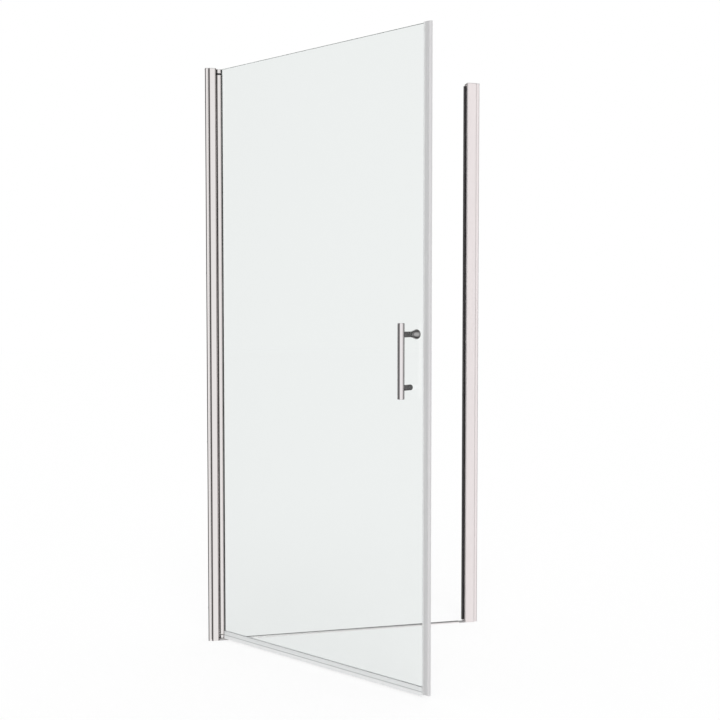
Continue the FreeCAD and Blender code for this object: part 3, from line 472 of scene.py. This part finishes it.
# %% [markdown]
# The bushes are moulded nylon, dull and waxy: black at the head of the column, and left in its
# own milky colour at the foot, where it carries the weight. The strip on the strike jamb is a
# soft PVC extrusion in dark grey, with fine lines along its length.

# %% Nylon and dark soft PVC
WAXY_SPOT_MM = 0.8
SOFT_LINE_MM = 0.6


def moulded_nylon(name, dark, light):
    material, tree, shader, places = new_material(name, {"Roughness": 0.5, "IOR": 1.53})
    waxy = grain(tree, places, WAXY_SPOT_MM)
    vary(tree, shader, "Roughness", waxy, 0.42, 0.6)
    tint(tree, shader, waxy, dark, light)
    return material


def soft_pvc(name, dark, light):
    material, tree, shader, places = new_material(name, {"Roughness": 0.45, "IOR": 1.54})
    lines = grain(tree, places, SOFT_LINE_MM, UPWARD)
    vary(tree, shader, "Roughness", lines, 0.36, 0.55)
    tint(tree, shader, lines, dark, light)
    emboss(tree, shader, lines, height_mm=0.01)
    return material


black_nylon = moulded_nylon("moulded_black_nylon", "#0F0F10", "#19191A")
natural_nylon = moulded_nylon("moulded_natural_nylon", "#DCDAD6", "#E6E4E0")
dark_pvc = soft_pvc("dark_soft_pvc", "#363435", "#403E3F")

# %% [markdown]
# Inside the two seals that meet when the door shuts are strips of bonded ferrite, a dull brown
# grey powder in rubber. The glazing strips that grip the glass are soft grey vinyl, extruded as
# the dark strip is. Only a grey line between column and glass shows of them.

# %% Bonded ferrite and grey vinyl
POWDER_MM = 0.5


def bonded_ferrite():
    material, tree, shader, places = new_material("bonded_ferrite", {
        "Roughness": 0.6, "IOR": 1.5,
    })
    powder = grain(tree, places, POWDER_MM)
    vary(tree, shader, "Roughness", powder, 0.5, 0.7)
    tint(tree, shader, powder, "#858381", "#989694")
    return material


ferrite = bonded_ferrite()
vinyl = soft_pvc("grey_glazing_vinyl", "#7C7C7B", "#8E8E8D")

# %% [markdown]
# The pane is toughened float glass, 6 mm thick. Its two faces pass nearly all light with a
# breath of grey green. Toughening leaves waves about a hand wide in the sheet, too shallow to see
# but for a slight swimming of what it mirrors.

# %% Toughened float glass
GLASS_WAVE_MM = 120
GLASS_WAVE_DEPTH_MM = 0.02


def toughened_float_glass():
    material, tree, shader, places = new_material("toughened_float_glass", {
        "Base Color": linear("#F5F8F7"), "Roughness": 0.0, "IOR": 1.5, "Transmission Weight": 1.0,
    })
    waves = grain(tree, places, GLASS_WAVE_MM, detail=0.0)
    emboss(tree, shader, waves, GLASS_WAVE_DEPTH_MM, strength=0.1)
    return material


glass = toughened_float_glass()

# %% [markdown]
# Before toughening, every edge and hole of the pane is ground. The grit leaves it matt, and one
# looks along the whole sheet there, so the eye sees a darker grey green line round the pane.

# %% Ground edges
GROUND_GRIT_MM = 0.4


def ground_glass():
    material, tree, shader, places = new_material("ground_glass_edge", {
        "Roughness": 0.5, "IOR": 1.5, "Transmission Weight": 0.3,
    })
    grit = grain(tree, places, GROUND_GRIT_MM)
    vary(tree, shader, "Roughness", grit, 0.45, 0.65)
    tint(tree, shader, grit, "#8D9693", "#A2AAA7")
    emboss(tree, shader, grit, height_mm=0.02)
    return material


ground_edge = ground_glass()

# %% [markdown]
# Both clip-on seals are clear PVC pushed through a die. The wall is clear but its surface isn't
# smooth, so it blurs and greys what lies behind it. Where walls and web lie behind each other
# the seal looks darker, and its thin lips and fins look nearly white. Each seal's section is the
# same all along, so bands across the section give this, and their alpha says how clear each is.

# %% Clear PVC
CLEAR_LINE_MM = 0.8


def clear_pvc(name, lengthwise, across, low, bands):
    """lengthwise is how far the die lines run along the glass, across it and up. The bands are
    (millimetres, colour, clearness) from the place low along the direction across."""
    material, tree, shader, places = new_material(name, {"Roughness": 0.3, "IOR": 1.54})
    lines = grain(tree, places, CLEAR_LINE_MM, lengthwise, turn=-OPEN_ANGLE)
    vary(tree, shader, "Roughness", lines, 0.25, 0.38)
    section = bands_across(tree, places, across, low, bands)
    streaked = add_node(tree, "ShaderNodeMix", {"data_type": "RGBA", "blend_type": "MULTIPLY"}, {
        FACTOR: lines, COLOUR_A: section["Color"], COLOUR_B: linear("#F6F8F8"),
    })
    tree.links.new(streaked.outputs[COLOUR_OUT], shader.inputs["Base Color"])
    tree.links.new(section["Alpha"], shader.inputs["Transmission Weight"])
    return material


# From the clip on the glass: thin clear lips, the darker web, then the head of the seal.
ALONG_GLASS = DOOR.to_3x3() @ Vector((1, 0, 0))
upright_pvc = clear_pvc(
    "clear_pvc_upright", UPWARD, ALONG_GLASS,
    ALONG_GLASS @ PIVOT + extent("edge_seal", DOOR)[0].x, (
        (0, UNTINTED, 0.5), (3.6, UNTINTED, 0.4), (4.8, "#E3E2E2", 0.2), (14, "#E0DFE0", 0.2),
        (16, "#F4F2F3", 0.2), (22.8, "#F4F2F3", 0.2),
    ))
# From below: the pale fins and wing, the darker web, then the clip on the glass.
seal_low, seal_high = extent("bottom_seal")
level_pvc = clear_pvc(
    "clear_pvc_level", (LINE_RUN, 1, 1), (0, 0, 1), seal_low.z, (
        (0, UNTINTED, 0.2), (8, UNTINTED, 0.15), (10, UNTINTED, 0.15), (10.8, "#CFD1D1", 0.15),
        (12.6, "#CFD1D1", 0.15), (13.4, "#F3F4F4", 0.1), (22.5, "#F3F4F4", 0.1),
    ))
print("bottom seal is", round((seal_high.z - seal_low.z) / MM, 1), "mm tall")

# %% [markdown]
# The washers and bushes between the handle and the glass are moulded in the same clear PVC. They
# are squeezed between metal and glass, so they get a dark grey of painted shade, with a dull shine.

# %% Washers of clear PVC
CLOUDY_SPOT_MM = 0.8


def pressed_washer():
    material, tree, shader, places = new_material("clear_pvc_washer", {
        "Roughness": 0.3, "IOR": 1.54, "Transmission Weight": 0.25,
    })
    cloudy = grain(tree, places, CLOUDY_SPOT_MM)
    vary(tree, shader, "Roughness", cloudy, 0.25, 0.38)
    tint(tree, shader, cloudy, "#787A7A", "#7E8080")
    return material


washer_pvc = pressed_washer()

# %% [markdown]
# Each carried-over node now gets the finish of the real piece. Nodes are listed by finish, and
# the count printed must be the count of nodes, so that none keeps a plain grey.

# %% Finishes on the CAD nodes
FINISHES = (
    (bright_aluminium, ("pivot_column",)),
    (jamb_aluminium, ("hinge_jamb",)),
    (channel_aluminium, ("hinge_wall_channel",)),
    (satin_aluminium, ("strike_wall_channel", "strike_jamb")),
    (bar_aluminium, ("threshold_bar",)),
    (silver_abs, ("hinge_top_cap", "strike_top_cap",
                  "threshold_hinge_end", "threshold_strike_end")),
    (zinc, ("top_pivot_block", "bottom_pivot_block")),
    (stainless, ("pivot_pins", "thrust_washer", "pivot_block_screws", "hinge_lock_screws",
                 "strike_lock_screws", "handle_studs")),
    (black_nylon, ("top_bush",)),
    (natural_nylon, ("bottom_bush",)),
    (dark_pvc, ("magnet_strip",)),
    (ferrite, ("strip_magnet", "edge_magnet")),
    (vinyl, ("outer_glazing_strip", "inner_glazing_strip")),
    (glass, ("glass_pane",)),
    (upright_pvc, ("edge_seal",)),
    (washer_pvc, ("handle_outer_washers", "handle_glass_bushes")),
    (level_pvc, ("bottom_seal",)),
    (chrome, ("handle_bar", "handle_end_caps", "handle_upper_post", "handle_lower_post",
              "handle_knob", "handle_rear_cap")),
)
dressed = 0
for material, names in FINISHES:
    for name in names:
        skin = frame["nodes"][name].data.materials
        skin.clear()
        skin.append(material)
        dressed += 1
print("dressed", dressed, "of", len(frame["nodes"]))

# %% [markdown]
# The handle is turned and plated brass. A turned shape is easiest to make the way a lathe makes
# it, station by station: a disc is extruded along its axis and scaled to each new radius. Its
# axis is z while it is modelled, and a matrix then lays it across the glass.

# %% A lathe
LATHE_SIDES = 64
ACROSS_GLASS = Matrix.Rotation(-math.pi / 2, 4, "X")


def turned(stations, sides=LATHE_SIDES):
    """A closed turned solid through (distance, radius) stations in millimetres."""
    (place, radius), *others = stations
    piece = start(bpy.ops.mesh.primitive_circle_add, vertices=sides, radius=radius * MM,
                  fill_type="NGON", location=(0, 0, place * MM))
    bpy.ops.object.transform_apply(location=True)
    bpy.ops.object.mode_set(mode="EDIT")
    bpy.ops.mesh.select_all(action="SELECT")
    for next_place, next_radius in others:
        step = (0, 0, (next_place - place) * MM)
        bpy.ops.mesh.extrude_region_move(TRANSFORM_OT_translate={"value": step})
        grow = next_radius / radius
        centre = (0, 0, next_place * MM)
        bpy.ops.transform.resize(value=(grow, grow, 1), center_override=centre)
        place, radius = next_place, next_radius
    bpy.ops.object.mode_set(mode="OBJECT")
    return piece


def across_glass(node):
    """Axes for a turned piece that stands on the glass where a CAD node does."""
    low, high = extent(node, DOOR)
    return DOOR @ Matrix.Translation(((low.x + high.x) / 2, 0, (low.z + high.z) / 2)) @ ACROSS_GLASS


print("a turned piece has", LATHE_SIDES, "sides")

# %% [markdown]
# The knob on the shower side is a short neck that swells to a rounded head, so that wet fingers
# can grip it. Few stations give the shape, each a distance from the middle of the pane and a
# radius, and a Subdivision Surface draws a smooth skin over them. Two stations close together
# keep an edge crisp, as at the foot against the glass.

# %% Knob
KNOB_OUTLINE = (
    (4.0, 7.4), (4.2, 7.6), (9.0, 7.9), (14.0, 9.1), (20.0, 10.8), (26.0, 12.5), (31.0, 13.6),
    (33.5, 13.9), (35.2, 13.7), (36.0, 12.8), (36.0, 11.0), (36.0, 3.0),
)
knob = turned(KNOB_OUTLINE)
apply_modifier(knob, "SUBSURF", levels=1, render_levels=1)
finish_piece(knob, "knob", chrome, "door", ["handle_knob"],
             across_glass("handle_knob"))

# %% [markdown]
# No rim of a turned piece is left sharp: the turner breaks it with the tool, and plating needs
# it round. A bevel on the ring of edges at one distance and radius does the same.

# %% Rounding a rim
SAME_PLACE_MM = 0.01
SAME_RADIUS_MM = 0.05  # the middle of a side lies a little inside the true circle


def soften_rim(piece, place, radius, width, segments=4):
    """Bevel the round edge of a turned piece that lies at a distance and radius."""
    pick(piece, "edges", lambda middle, edge: abs(middle.z - place * MM) < SAME_PLACE_MM * MM
         and abs(middle.xy.length - radius * MM) < SAME_RADIUS_MM * MM)
    bpy.ops.mesh.bevel(offset=width * MM, segments=segments, affect="EDGES")
    bpy.ops.object.mode_set(mode="OBJECT")
    print(f"rim of {radius:.2f} mm rounded by {width} mm")


# %% [markdown]
# The bar is a tube, 2 mm in the wall, whose two mouths are closed by plugs. Insetting an end
# face and pushing it in makes a mouth, and the wall is what stays round it.

# %% Bar
TUBE_WALL_MM = 2.0
TUBE_ROUND_MM = 0.4
MOUTH_DEPTH_MM = 3.0
PLUG_STAND_MM = 0.8
low, high = extent("handle_bar", DOOR)
BAR_RADIUS = (high.x - low.x) / 2 / MM
BAR_AXIS = Vector(((low.x + high.x) / 2, (low.y + high.y) / 2, 0))
low, high = extent("handle_end_caps", DOOR)
BAR_FOOT, BAR_TOP = low.z / MM, high.z / MM
print(f"bar {BAR_TOP - BAR_FOOT:.1f} mm long, {2 * BAR_RADIUS:.1f} mm thick")

tube_foot, tube_top = BAR_FOOT + PLUG_STAND_MM, BAR_TOP - PLUG_STAND_MM
bar = turned([(tube_foot, BAR_RADIUS), (tube_top, BAR_RADIUS)])
for end, inward in ((tube_foot, MOUTH_DEPTH_MM), (tube_top, -MOUTH_DEPTH_MM)):
    soften_rim(bar, end, BAR_RADIUS, TUBE_ROUND_MM, 3)
    pick(bar, "faces", lambda middle, face: len(face.vertices) > 4
         and abs(middle.z - end * MM) < SAME_PLACE_MM * MM)
    bpy.ops.mesh.inset(thickness=(TUBE_WALL_MM - TUBE_ROUND_MM) * MM)
    bpy.ops.mesh.extrude_region_move(TRANSFORM_OT_translate={"value": (0, 0, inward * MM)})
    bpy.ops.object.mode_set(mode="OBJECT")
bar_axes = DOOR @ Matrix.Translation(BAR_AXIS)
finish_piece(bar, "bar_tube", chrome, "door", ["handle_bar"], bar_axes)

# %% [markdown]
# The plugs are pressed into the mouths and stand a hair proud with rounded rims. The fine dark
# seam between plug and tube is what tells the eye that the bar isn't cast in one piece.

# %% End plugs
PLUG_LENGTH_MM = 3.0
PLUG_ROUND_MM = 0.7
PLUG_SEAM_MM = 0.35
PLUG_RADIUS = BAR_RADIUS - TUBE_WALL_MM - PLUG_SEAM_MM


def joined(pieces):
    """Join pieces into one. Each stays where it is."""
    select_only(*pieces)
    bpy.ops.object.join()
    return bpy.context.object


plugs = []
for foot, top, rim in ((BAR_FOOT, BAR_FOOT + PLUG_LENGTH_MM, BAR_FOOT),
                       (BAR_TOP - PLUG_LENGTH_MM, BAR_TOP, BAR_TOP)):
    plug = turned([(foot, PLUG_RADIUS), (top, PLUG_RADIUS)])
    soften_rim(plug, rim, PLUG_RADIUS, PLUG_ROUND_MM)
    plugs.append(plug)
finish_piece(joined(plugs), "bar_end_plugs", chrome, "door",
             ["handle_end_caps"], bar_axes)

# %% [markdown]
# Two posts join the bar to the glass. Each end that meets the bar is milled to a saddle, which
# is the bar's own shape cut away: a Boolean with a copy of the bar does it. A second one drills
# the hole in the underside, near the glass, for the screw that clamps the post on its stud.

# %% Posts
POST_ROUND_MM = 0.5
CUTTER_REACH_MM = 20.0
CLAMP_RADIUS = 1.8
CLAMP_PLACE_MM = -9.0
HOLE_GAP_MM = 0.2
HOLE_DEPTH_MM = 2.0
clamp_places = []
for node, name in (("handle_upper_post", "upper_post"), ("handle_lower_post", "lower_post")):
    low, high = extent(node, DOOR)
    post_radius = (high.z - low.z) / 2 / MM
    foot, saddle = high.y / MM, BAR_AXIS.y / MM
    post = turned([(foot, post_radius), (saddle, post_radius)])
    soften_rim(post, foot, post_radius, POST_ROUND_MM, 3)
    bar_shape = turned([(-CUTTER_REACH_MM, BAR_RADIUS), (CUTTER_REACH_MM, BAR_RADIUS)])
    bar_shape.matrix_world = Matrix.Translation((0, 0, saddle * MM)) @ ACROSS_GLASS
    cut_away(post, bar_shape)
    underside = Matrix.Translation((0, post_radius * MM, CLAMP_PLACE_MM * MM)) @ ACROSS_GLASS
    hole_radius = CLAMP_RADIUS + HOLE_GAP_MM
    hole = turned([(-HOLE_DEPTH_MM, hole_radius), (HOLE_DEPTH_MM, hole_radius)])
    hole.matrix_world = underside
    cut_away(post, hole)
    axes = across_glass(node)
    finish_piece(post, name, chrome, "door", [node], axes)
    clamp_places.append(axes @ underside)

# %% [markdown]
# The clamping screws have no head. They end just under the surface, with a six-sided socket for
# the key. A turned piece with only six sides is the tool that cuts it.

# %% Clamping screws
SCREW_SINK_MM = 0.5
SCREW_ROUND_MM = 0.3
SOCKET_RADIUS = 1.0
SOCKET_FLOOR_MM = -1.6
clamp_screws = []
for place in clamp_places:
    screw = turned([(-HOLE_DEPTH_MM, CLAMP_RADIUS), (-SCREW_SINK_MM, CLAMP_RADIUS)])
    soften_rim(screw, -SCREW_SINK_MM, CLAMP_RADIUS, SCREW_ROUND_MM, 2)
    cut_away(screw, turned([(SOCKET_FLOOR_MM, SOCKET_RADIUS), (1.0, SOCKET_RADIUS)], sides=6))
    screw.matrix_world = place
    clamp_screws.append(screw)
finish_piece(joined(clamp_screws), "clamping_screws", stainless, "door")

# %% [markdown]
# On the shower side the lower stud ends in a flat cap. Its rim is rounded wide, because a hand
# brushes over it.

# %% Rear cap
REAR_CAP_ROUND_MM = 1.2
low, high = extent("handle_rear_cap", DOOR)
rear_radius = (high.z - low.z) / 2 / MM
rear_cap = turned([(low.y / MM, rear_radius), (high.y / MM, rear_radius)])
soften_rim(rear_cap, high.y / MM, rear_radius, REAR_CAP_ROUND_MM)
finish_piece(rear_cap, "rear_cap", chrome, "door", ["handle_rear_cap"],
             across_glass("handle_rear_cap"))

# %% [markdown]
# On the shower side three screws lock each jamb on its wall channel, and a domed cap snaps over
# each head. One cap is modelled and copied up the jamb; each copy keeps a mesh of its own. Its
# back lies inside the jamb's face, so no gap shows under it.

# %% Snap caps
FRAME_FACE = extent("hinge_jamb")[1].y
BUTTON_SIDES = 40
BURIED_MM = 1.0
DOME_ROUND_MM = 2.4


def button(radius, height, back_radius, rounding, segments):
    """A low round head that stands on a face, modelled about its own axis."""
    piece = turned([(-BURIED_MM, back_radius), (0.1 - BURIED_MM, radius), (height, radius)],
                   sides=BUTTON_SIDES)
    soften_rim(piece, height, radius, rounding, segments)
    return piece


def copies_on_frame(piece, x, heights):
    """Copies of one piece on the face of a jamb, joined, and the first one thrown away."""
    copies = []
    for height in heights:
        select_only(piece)
        bpy.ops.object.duplicate()
        copies.append(bpy.context.object)
        copies[-1].matrix_world = Matrix.Translation((x, FRAME_FACE, height)) @ ACROSS_GLASS
    bpy.data.objects.remove(piece)
    return joined(copies)


for node, name in (("hinge_lock_screws", "hinge_snap_caps"),
                   ("strike_lock_screws", "strike_snap_caps")):
    low, high = extent(node)
    middle = (low + high) / 2
    cap_radius = (high.x - low.x) / 2
    cap = button(cap_radius / MM, (high.y - FRAME_FACE) / MM, back_radius=2.0,
                 rounding=DOME_ROUND_MM, segments=6)
    heights = (low.z + cap_radius, middle.z, high.z - cap_radius)
    finish_piece(copies_on_frame(cap, middle.x, heights), name, silver_abs, "frame",
                 [node])

# %% [markdown]
# One pan head screw holds each pivot block in the jamb. Its cross recess is two thin wedges at
# right angles, cut out of the head.

# %% Pivot block screws
HEAD_ROUND_MM = 0.9
CROSS_MM, CROSS_ARM_MM, CROSS_HEIGHT_MM = 3.2, 0.6, 1.8
low, high = extent("pivot_block_screws")
middle = (low + high) / 2
head_radius = (high.x - low.x) / 2
head_height = (high.y - FRAME_FACE) / MM
head = button(head_radius / MM, head_height, back_radius=1.3, rounding=HEAD_ROUND_MM, segments=4)
for wide, deep in ((CROSS_MM, CROSS_ARM_MM), (CROSS_ARM_MM, CROSS_MM)):
    blade = start(bpy.ops.mesh.primitive_cube_add, size=MM, location=(0, 0, head_height * MM),
                  scale=(wide, deep, CROSS_HEIGHT_MM))
    cut_away(head, blade)
heights = (low.z + head_radius, high.z - head_radius)
finish_piece(copies_on_frame(head, middle.x, heights), "block_screws", stainless, "frame",
             ["pivot_block_screws"])

# %% [markdown]
# Castings, moulded caps and soft extrusions never have knife edges: the light catches a small
# round on each. Their shapes are right as they are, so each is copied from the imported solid,
# its loose triangles are merged into whole faces, and a narrow bevel goes round every edge. The
# Weighted Normal modifier keeps the large faces flat to the eye and lets only the bevels turn.

# %% Soft-edged copies
WELD_MM = 0.002
FLAT_ANGLE = math.radians(1)
SHARP_ANGLE = math.radians(40)


def soft_copy(node, name, material, body, slot, width_mm, segments=2):
    """A copy of a CAD node with narrow bevels on its sharp edges, which stands for the node."""
    select_only(frame["nodes"][node])
    bpy.ops.object.duplicate()
    piece = bpy.context.object
    bpy.ops.mesh.customdata_custom_splitnormals_clear()
    bpy.ops.object.mode_set(mode="EDIT")
    bpy.ops.mesh.select_all(action="SELECT")
    bpy.ops.mesh.remove_doubles(threshold=WELD_MM * MM)
    bpy.ops.mesh.dissolve_limited(angle_limit=FLAT_ANGLE)
    bpy.ops.object.mode_set(mode="OBJECT")
    apply_modifier(piece, "BEVEL", width=width_mm * MM, segments=segments,
                   limit_method="ANGLE", angle_limit=SHARP_ANGLE, use_clamp_overlap=True)
    finish_piece(piece, name, material, body, [node])
    apply_modifier(piece, "WEIGHTED_NORMAL", keep_sharp=True)
    return piece


SOFT_EDGED = (
    ("hinge_top_cap", "hinge_cap", silver_abs, "frame", "moulded_caps", 0.4),
    ("strike_top_cap", "strike_cap", silver_abs, "frame", "moulded_caps", 0.4),
    ("threshold_hinge_end", "hinge_end_block", silver_abs, "frame", "moulded_caps", 0.4),
    ("threshold_strike_end", "strike_end_block", silver_abs, "frame", "moulded_caps", 0.4),
    ("threshold_bar", "sill_bar", bar_aluminium, "frame", "polished_aluminium", 0.3),
    ("top_pivot_block", "upper_pivot_casting", zinc, "frame", "cast_blocks", 0.3),
    ("bottom_pivot_block", "lower_pivot_casting", zinc, "frame", "cast_blocks", 0.3),
    ("magnet_strip", "dark_closing_strip", dark_pvc, "frame", "dark_strip", 0.35),
    ("edge_seal", "free_edge_seal", upright_pvc, "door", "clear_seal", 0.25),
    ("bottom_seal", "drip_seal", level_pvc, "door", "clear_seal", 0.15),
)
for settings in SOFT_EDGED:
    soft_copy(*settings)
print("soft-edged copies:", len(SOFT_EDGED))

# %% [markdown]
# The pane gets a narrow chamfer, which the grinding wheel leaves on every edge. A sheet of glass
# must stay dead flat to mirror well, so here the turned normals are cleared again and every face
# is shaded flat. The faces that don't look along its thickness are the ground ones.

# %% Glass pane
CHAMFER_MM = 0.3
ALONG_THICKNESS = 0.9  # the cosine from which a face counts as one of the two clear ones
pane = soft_copy("glass_pane", "pane", glass, "door", "toughened_glass", CHAMFER_MM, segments=1)
bpy.ops.mesh.customdata_custom_splitnormals_clear()
bpy.ops.object.shade_flat()
pane.data.materials.append(ground_edge)
through = DOOR.to_3x3() @ Vector((0, 1, 0))
for face in pane.data.polygons:
    if abs(face.normal @ through) < ALONG_THICKNESS:
        face.material_index = 1
print("ground faces:", sum(face.material_index for face in pane.data.polygons))

# %% [markdown]
# Along the inner top edge of the bar lies a thin soft bead of the same dark PVC. From the front
# it is only a fine dark line. A long block is set on the bar, and its upper edges are rounded.

# %% Dark bead on the bar
BEAD_WIDTH_MM = 2.4
BEAD_HEIGHT_MM = 0.8
BEAD_ROUND_MM = 0.35
NEAR_TOP = 0.9  # from this share of its height on, an edge is an upper one
low, high = extent("threshold_bar")
bead = start(bpy.ops.mesh.primitive_cube_add, size=1, location=(
    (low.x + high.x) / 2, high.y - BEAD_WIDTH_MM / 2 * MM, high.z + BEAD_HEIGHT_MM / 2 * MM,
), scale=(high.x - low.x, BEAD_WIDTH_MM * MM, BEAD_HEIGHT_MM * MM))
bpy.ops.object.transform_apply(location=True, scale=True)
pick(bead, "edges", lambda middle, edge: middle.z > high.z + BEAD_HEIGHT_MM * MM * NEAR_TOP)
bpy.ops.mesh.bevel(offset=BEAD_ROUND_MM * MM, segments=3, affect="EDGES")
bpy.ops.object.mode_set(mode="OBJECT")
finish_piece(bead, "sill_bead", dark_pvc, "frame")

# %% [markdown]
# The studio is a wide pale floor in a white world. Polished metal only looks like metal when it
# has something to mirror, so a ray that comes off metal sees another room than the camera does:
# a bright wall in front of the door and dark curtains at its sides, as a photographer sets up.
# Light Path tells the two kinds of ray apart.

# %% Two kinds of rays
def seen_directly(tree):
    """Which rays look straight at the studio, and which come off polished metal."""
    rays = add_node(tree, "ShaderNodeLightPath").outputs
    looked_at = add_node(tree, "ShaderNodeMath", {"operation": "MAXIMUM"}, {
        0: rays["Is Camera Ray"], 1: rays["Is Transmission Ray"],
    })
    off_metal = add_node(tree, "ShaderNodeMath", {"operation": "GREATER_THAN"}, {
        0: rays["Glossy Depth"], 1: 0.5,  # one bounce or more
    })
    print("rays told apart in", len(tree.nodes), "nodes")
    return looked_at.outputs["Value"], off_metal.outputs["Value"]


# %% [markdown]
# The floor is matt paper. Seen straight or through the glass, most of its brightness is a glow of
# its own, so that it is evenly pale, and a small share is lit paper, which carries the soft shadow
# of the door. Rays off metal pass through it, or each profile would turn pale towards its foot.
# All other rays meet plain paper, which throws light back up at the door.

# %% Floor
FLOOR_SIZE = 60.0
FLOOR_DROP_MM = 0.5
FLOOR_GLOW = 0.836
FLOOR_DIM = 0.16
floor = start(bpy.ops.mesh.primitive_plane_add, size=FLOOR_SIZE,
              location=(0, 0, -FLOOR_DROP_MM * MM))
floor.name = "studio_floor"
paper, tree, shader, places = new_material("pale_floor_paper", {
    "Base Color": linear("#F2F2F2"), "Roughness": 0.9, "Specular IOR Level": 0.0,
})
looked_at, off_metal = seen_directly(tree)
dim_paper = add_node(tree, "ShaderNodeBsdfDiffuse", feeds={
    "Color": (FLOOR_DIM, FLOOR_DIM, FLOOR_DIM, 1),
})
glow = add_node(tree, "ShaderNodeEmission", feeds={"Strength": FLOOR_GLOW})
lit_paper = add_node(tree, "ShaderNodeAddShader", feeds={
    0: dim_paper.outputs["BSDF"], 1: glow.outputs["Emission"],
})
either = add_node(tree, "ShaderNodeMixShader", feeds={
    0: looked_at, 1: shader.outputs["BSDF"], 2: lit_paper.outputs["Shader"],
})
unseen = add_node(tree, "ShaderNodeBsdfTransparent")
all_rays = add_node(tree, "ShaderNodeMixShader", feeds={
    0: off_metal, 1: either.outputs["Shader"], 2: unseen.outputs["BSDF"],
})
tree.links.new(all_rays.outputs["Shader"], tree.nodes["Material Output"].inputs["Surface"])
floor.data.materials.append(paper)
print("floor:", FLOOR_SIZE, "m wide")

# %% [markdown]
# A profile mirrors one direction with each of its faces, so the room that metal sees is given
# round the compass. The bright wall stands in front and a little to the left, it fades to grey
# on the right, and dark curtains close both sides, with a bright gap straight behind. These steps
# give the column and the jambs their light and dark lines.

# %% What polished metal mirrors
# Degrees from straight in front, positive to the right, the brightness there, and how much
# more red it holds.
MIRRORED = (
    (-180, 0.95, 0), (-170, 0.9, 0), (-158, 0.25, 0), (-110, 0.12, 0), (-96, 0.22, 0),
    (-84, 0.22, 0), (-74, 0.07, 0), (-66, 0.05, 0), (-56, 0.45, 0), (-45, 0.95, 0),
    (6, 0.95, 0), (16, 0.95, 0.03), (30, 0.87, 0.03), (42, 0.71, 0.01), (55, 0.6, 0),
    (68, 0.38, 0), (80, 0.13, 0), (100, 0.07, 0), (125, 0.05, 0), (158, 0.15, 0),
    (170, 0.9, 0), (180, 0.95, 0),
)


def mirrored_room(tree):
    """A colour by compass direction, from straight behind round to straight behind."""
    direction = add_node(tree, "ShaderNodeTexCoord").outputs["Generated"]
    axes = add_node(tree, "ShaderNodeSeparateXYZ", feeds={"Vector": direction}).outputs
    front = add_node(tree, "ShaderNodeMath", {"operation": "MULTIPLY"}, {0: axes["Y"], 1: -1.0})
    compass = add_node(tree, "ShaderNodeMath", {"operation": "ARCTAN2"}, {
        0: axes["X"], 1: front.outputs["Value"],
    })
    turn = add_node(tree, "ShaderNodeMapRange", feeds={
        "Value": compass.outputs["Value"], "From Min": -math.pi, "From Max": math.pi,
    })
    ramp = add_node(tree, "ShaderNodeValToRGB", feeds={"Fac": turn.outputs["Result"]})
    stops = ramp.color_ramp.elements
    stops.remove(stops[-1])
    for index, (degrees, bright, red) in enumerate(MIRRORED):
        stop = stops[0] if index == 0 else stops.new((degrees + 180) / 360)
        stop.position = (degrees + 180) / 360
        stop.color = (bright + red, bright, bright, 1)
    print("mirrored room:", len(stops), "steps round the compass")
    return ramp.outputs["Color"]


# %% [markdown]
# To the camera, also through the glass, the world is plain white. It lights matt surfaces a
# little less brightly, so that pale ones don't clip.

# %% World
WHITE = (1, 1, 1, 1)
WORLD_LIGHT = 0.8
world = bpy.data.worlds.new("white_studio")
bpy.context.scene.world = world
world.use_nodes = True
tree = world.node_tree
tree.nodes.clear()
looked_at, off_metal = seen_directly(tree)
curtains = add_node(tree, "ShaderNodeBackground", feeds={"Color": mirrored_room(tree)})
light = add_node(tree, "ShaderNodeBackground", feeds={"Color": WHITE, "Strength": WORLD_LIGHT})
white = add_node(tree, "ShaderNodeBackground", feeds={"Color": WHITE, "Strength": 1.0})
straight = add_node(tree, "ShaderNodeMixShader", feeds={
    0: looked_at, 1: light.outputs["Background"], 2: white.outputs["Background"],
})
all_rays = add_node(tree, "ShaderNodeMixShader", feeds={
    0: off_metal, 1: straight.outputs["Shader"], 2: curtains.outputs["Background"],
})
add_node(tree, "ShaderNodeOutputWorld", feeds={"Surface": all_rays.outputs["Shader"]})
print("world light:", WORLD_LIGHT)

# %% [markdown]
# One broad lamp from the upper left front gives the shadows a side without adding a hot spot.
# A sun lamp lights the whole floor evenly, so the paper has no bright pool. It isn't mirrored,
# because metal would show it as a disc.

# %% Lamp
LAMP_STRENGTH = 0.9
LAMP_SPREAD = math.radians(35)
LAMP_TURN = (math.radians(38), math.radians(-18), math.radians(12))
lamp_data = bpy.data.lights.new("soft_key", "SUN")
lamp_data.energy = LAMP_STRENGTH
lamp_data.angle = LAMP_SPREAD
lamp = bpy.data.objects.new("soft_key", lamp_data)
lamp.rotation_euler = LAMP_TURN
lamp.visible_glossy = False
bpy.context.scene.collection.objects.link(lamp)
print("lamp:", LAMP_STRENGTH, "spread over", round(math.degrees(LAMP_SPREAD)), "degrees")

# %% [markdown]
# The camera stands where the photographer's did, worked out from the photograph's perspective:
# a little above half height, to the left of the door and turned towards it.

# %% Camera
CAMERA_PLACE = (-0.219, -3.1365, 1.037)
CAMERA_YAW = math.radians(12.98)
CAMERA_PITCH = math.radians(2.39)
CAMERA_LENS_MM = 48.53
FILM_WIDTH_MM = 36
camera_data = bpy.data.cameras.new("photo_camera")
camera_data.lens = CAMERA_LENS_MM
camera_data.sensor_width = FILM_WIDTH_MM
camera = bpy.data.objects.new("photo_camera", camera_data)
camera.location = CAMERA_PLACE
camera.rotation_euler = (math.pi / 2 - CAMERA_PITCH, 0, -CAMERA_YAW)
bpy.context.scene.collection.objects.link(camera)
bpy.context.scene.camera = camera
bpy.context.scene.view_settings.view_transform = "Standard"
print("camera:", CAMERA_LENS_MM, "mm lens at", CAMERA_PLACE)
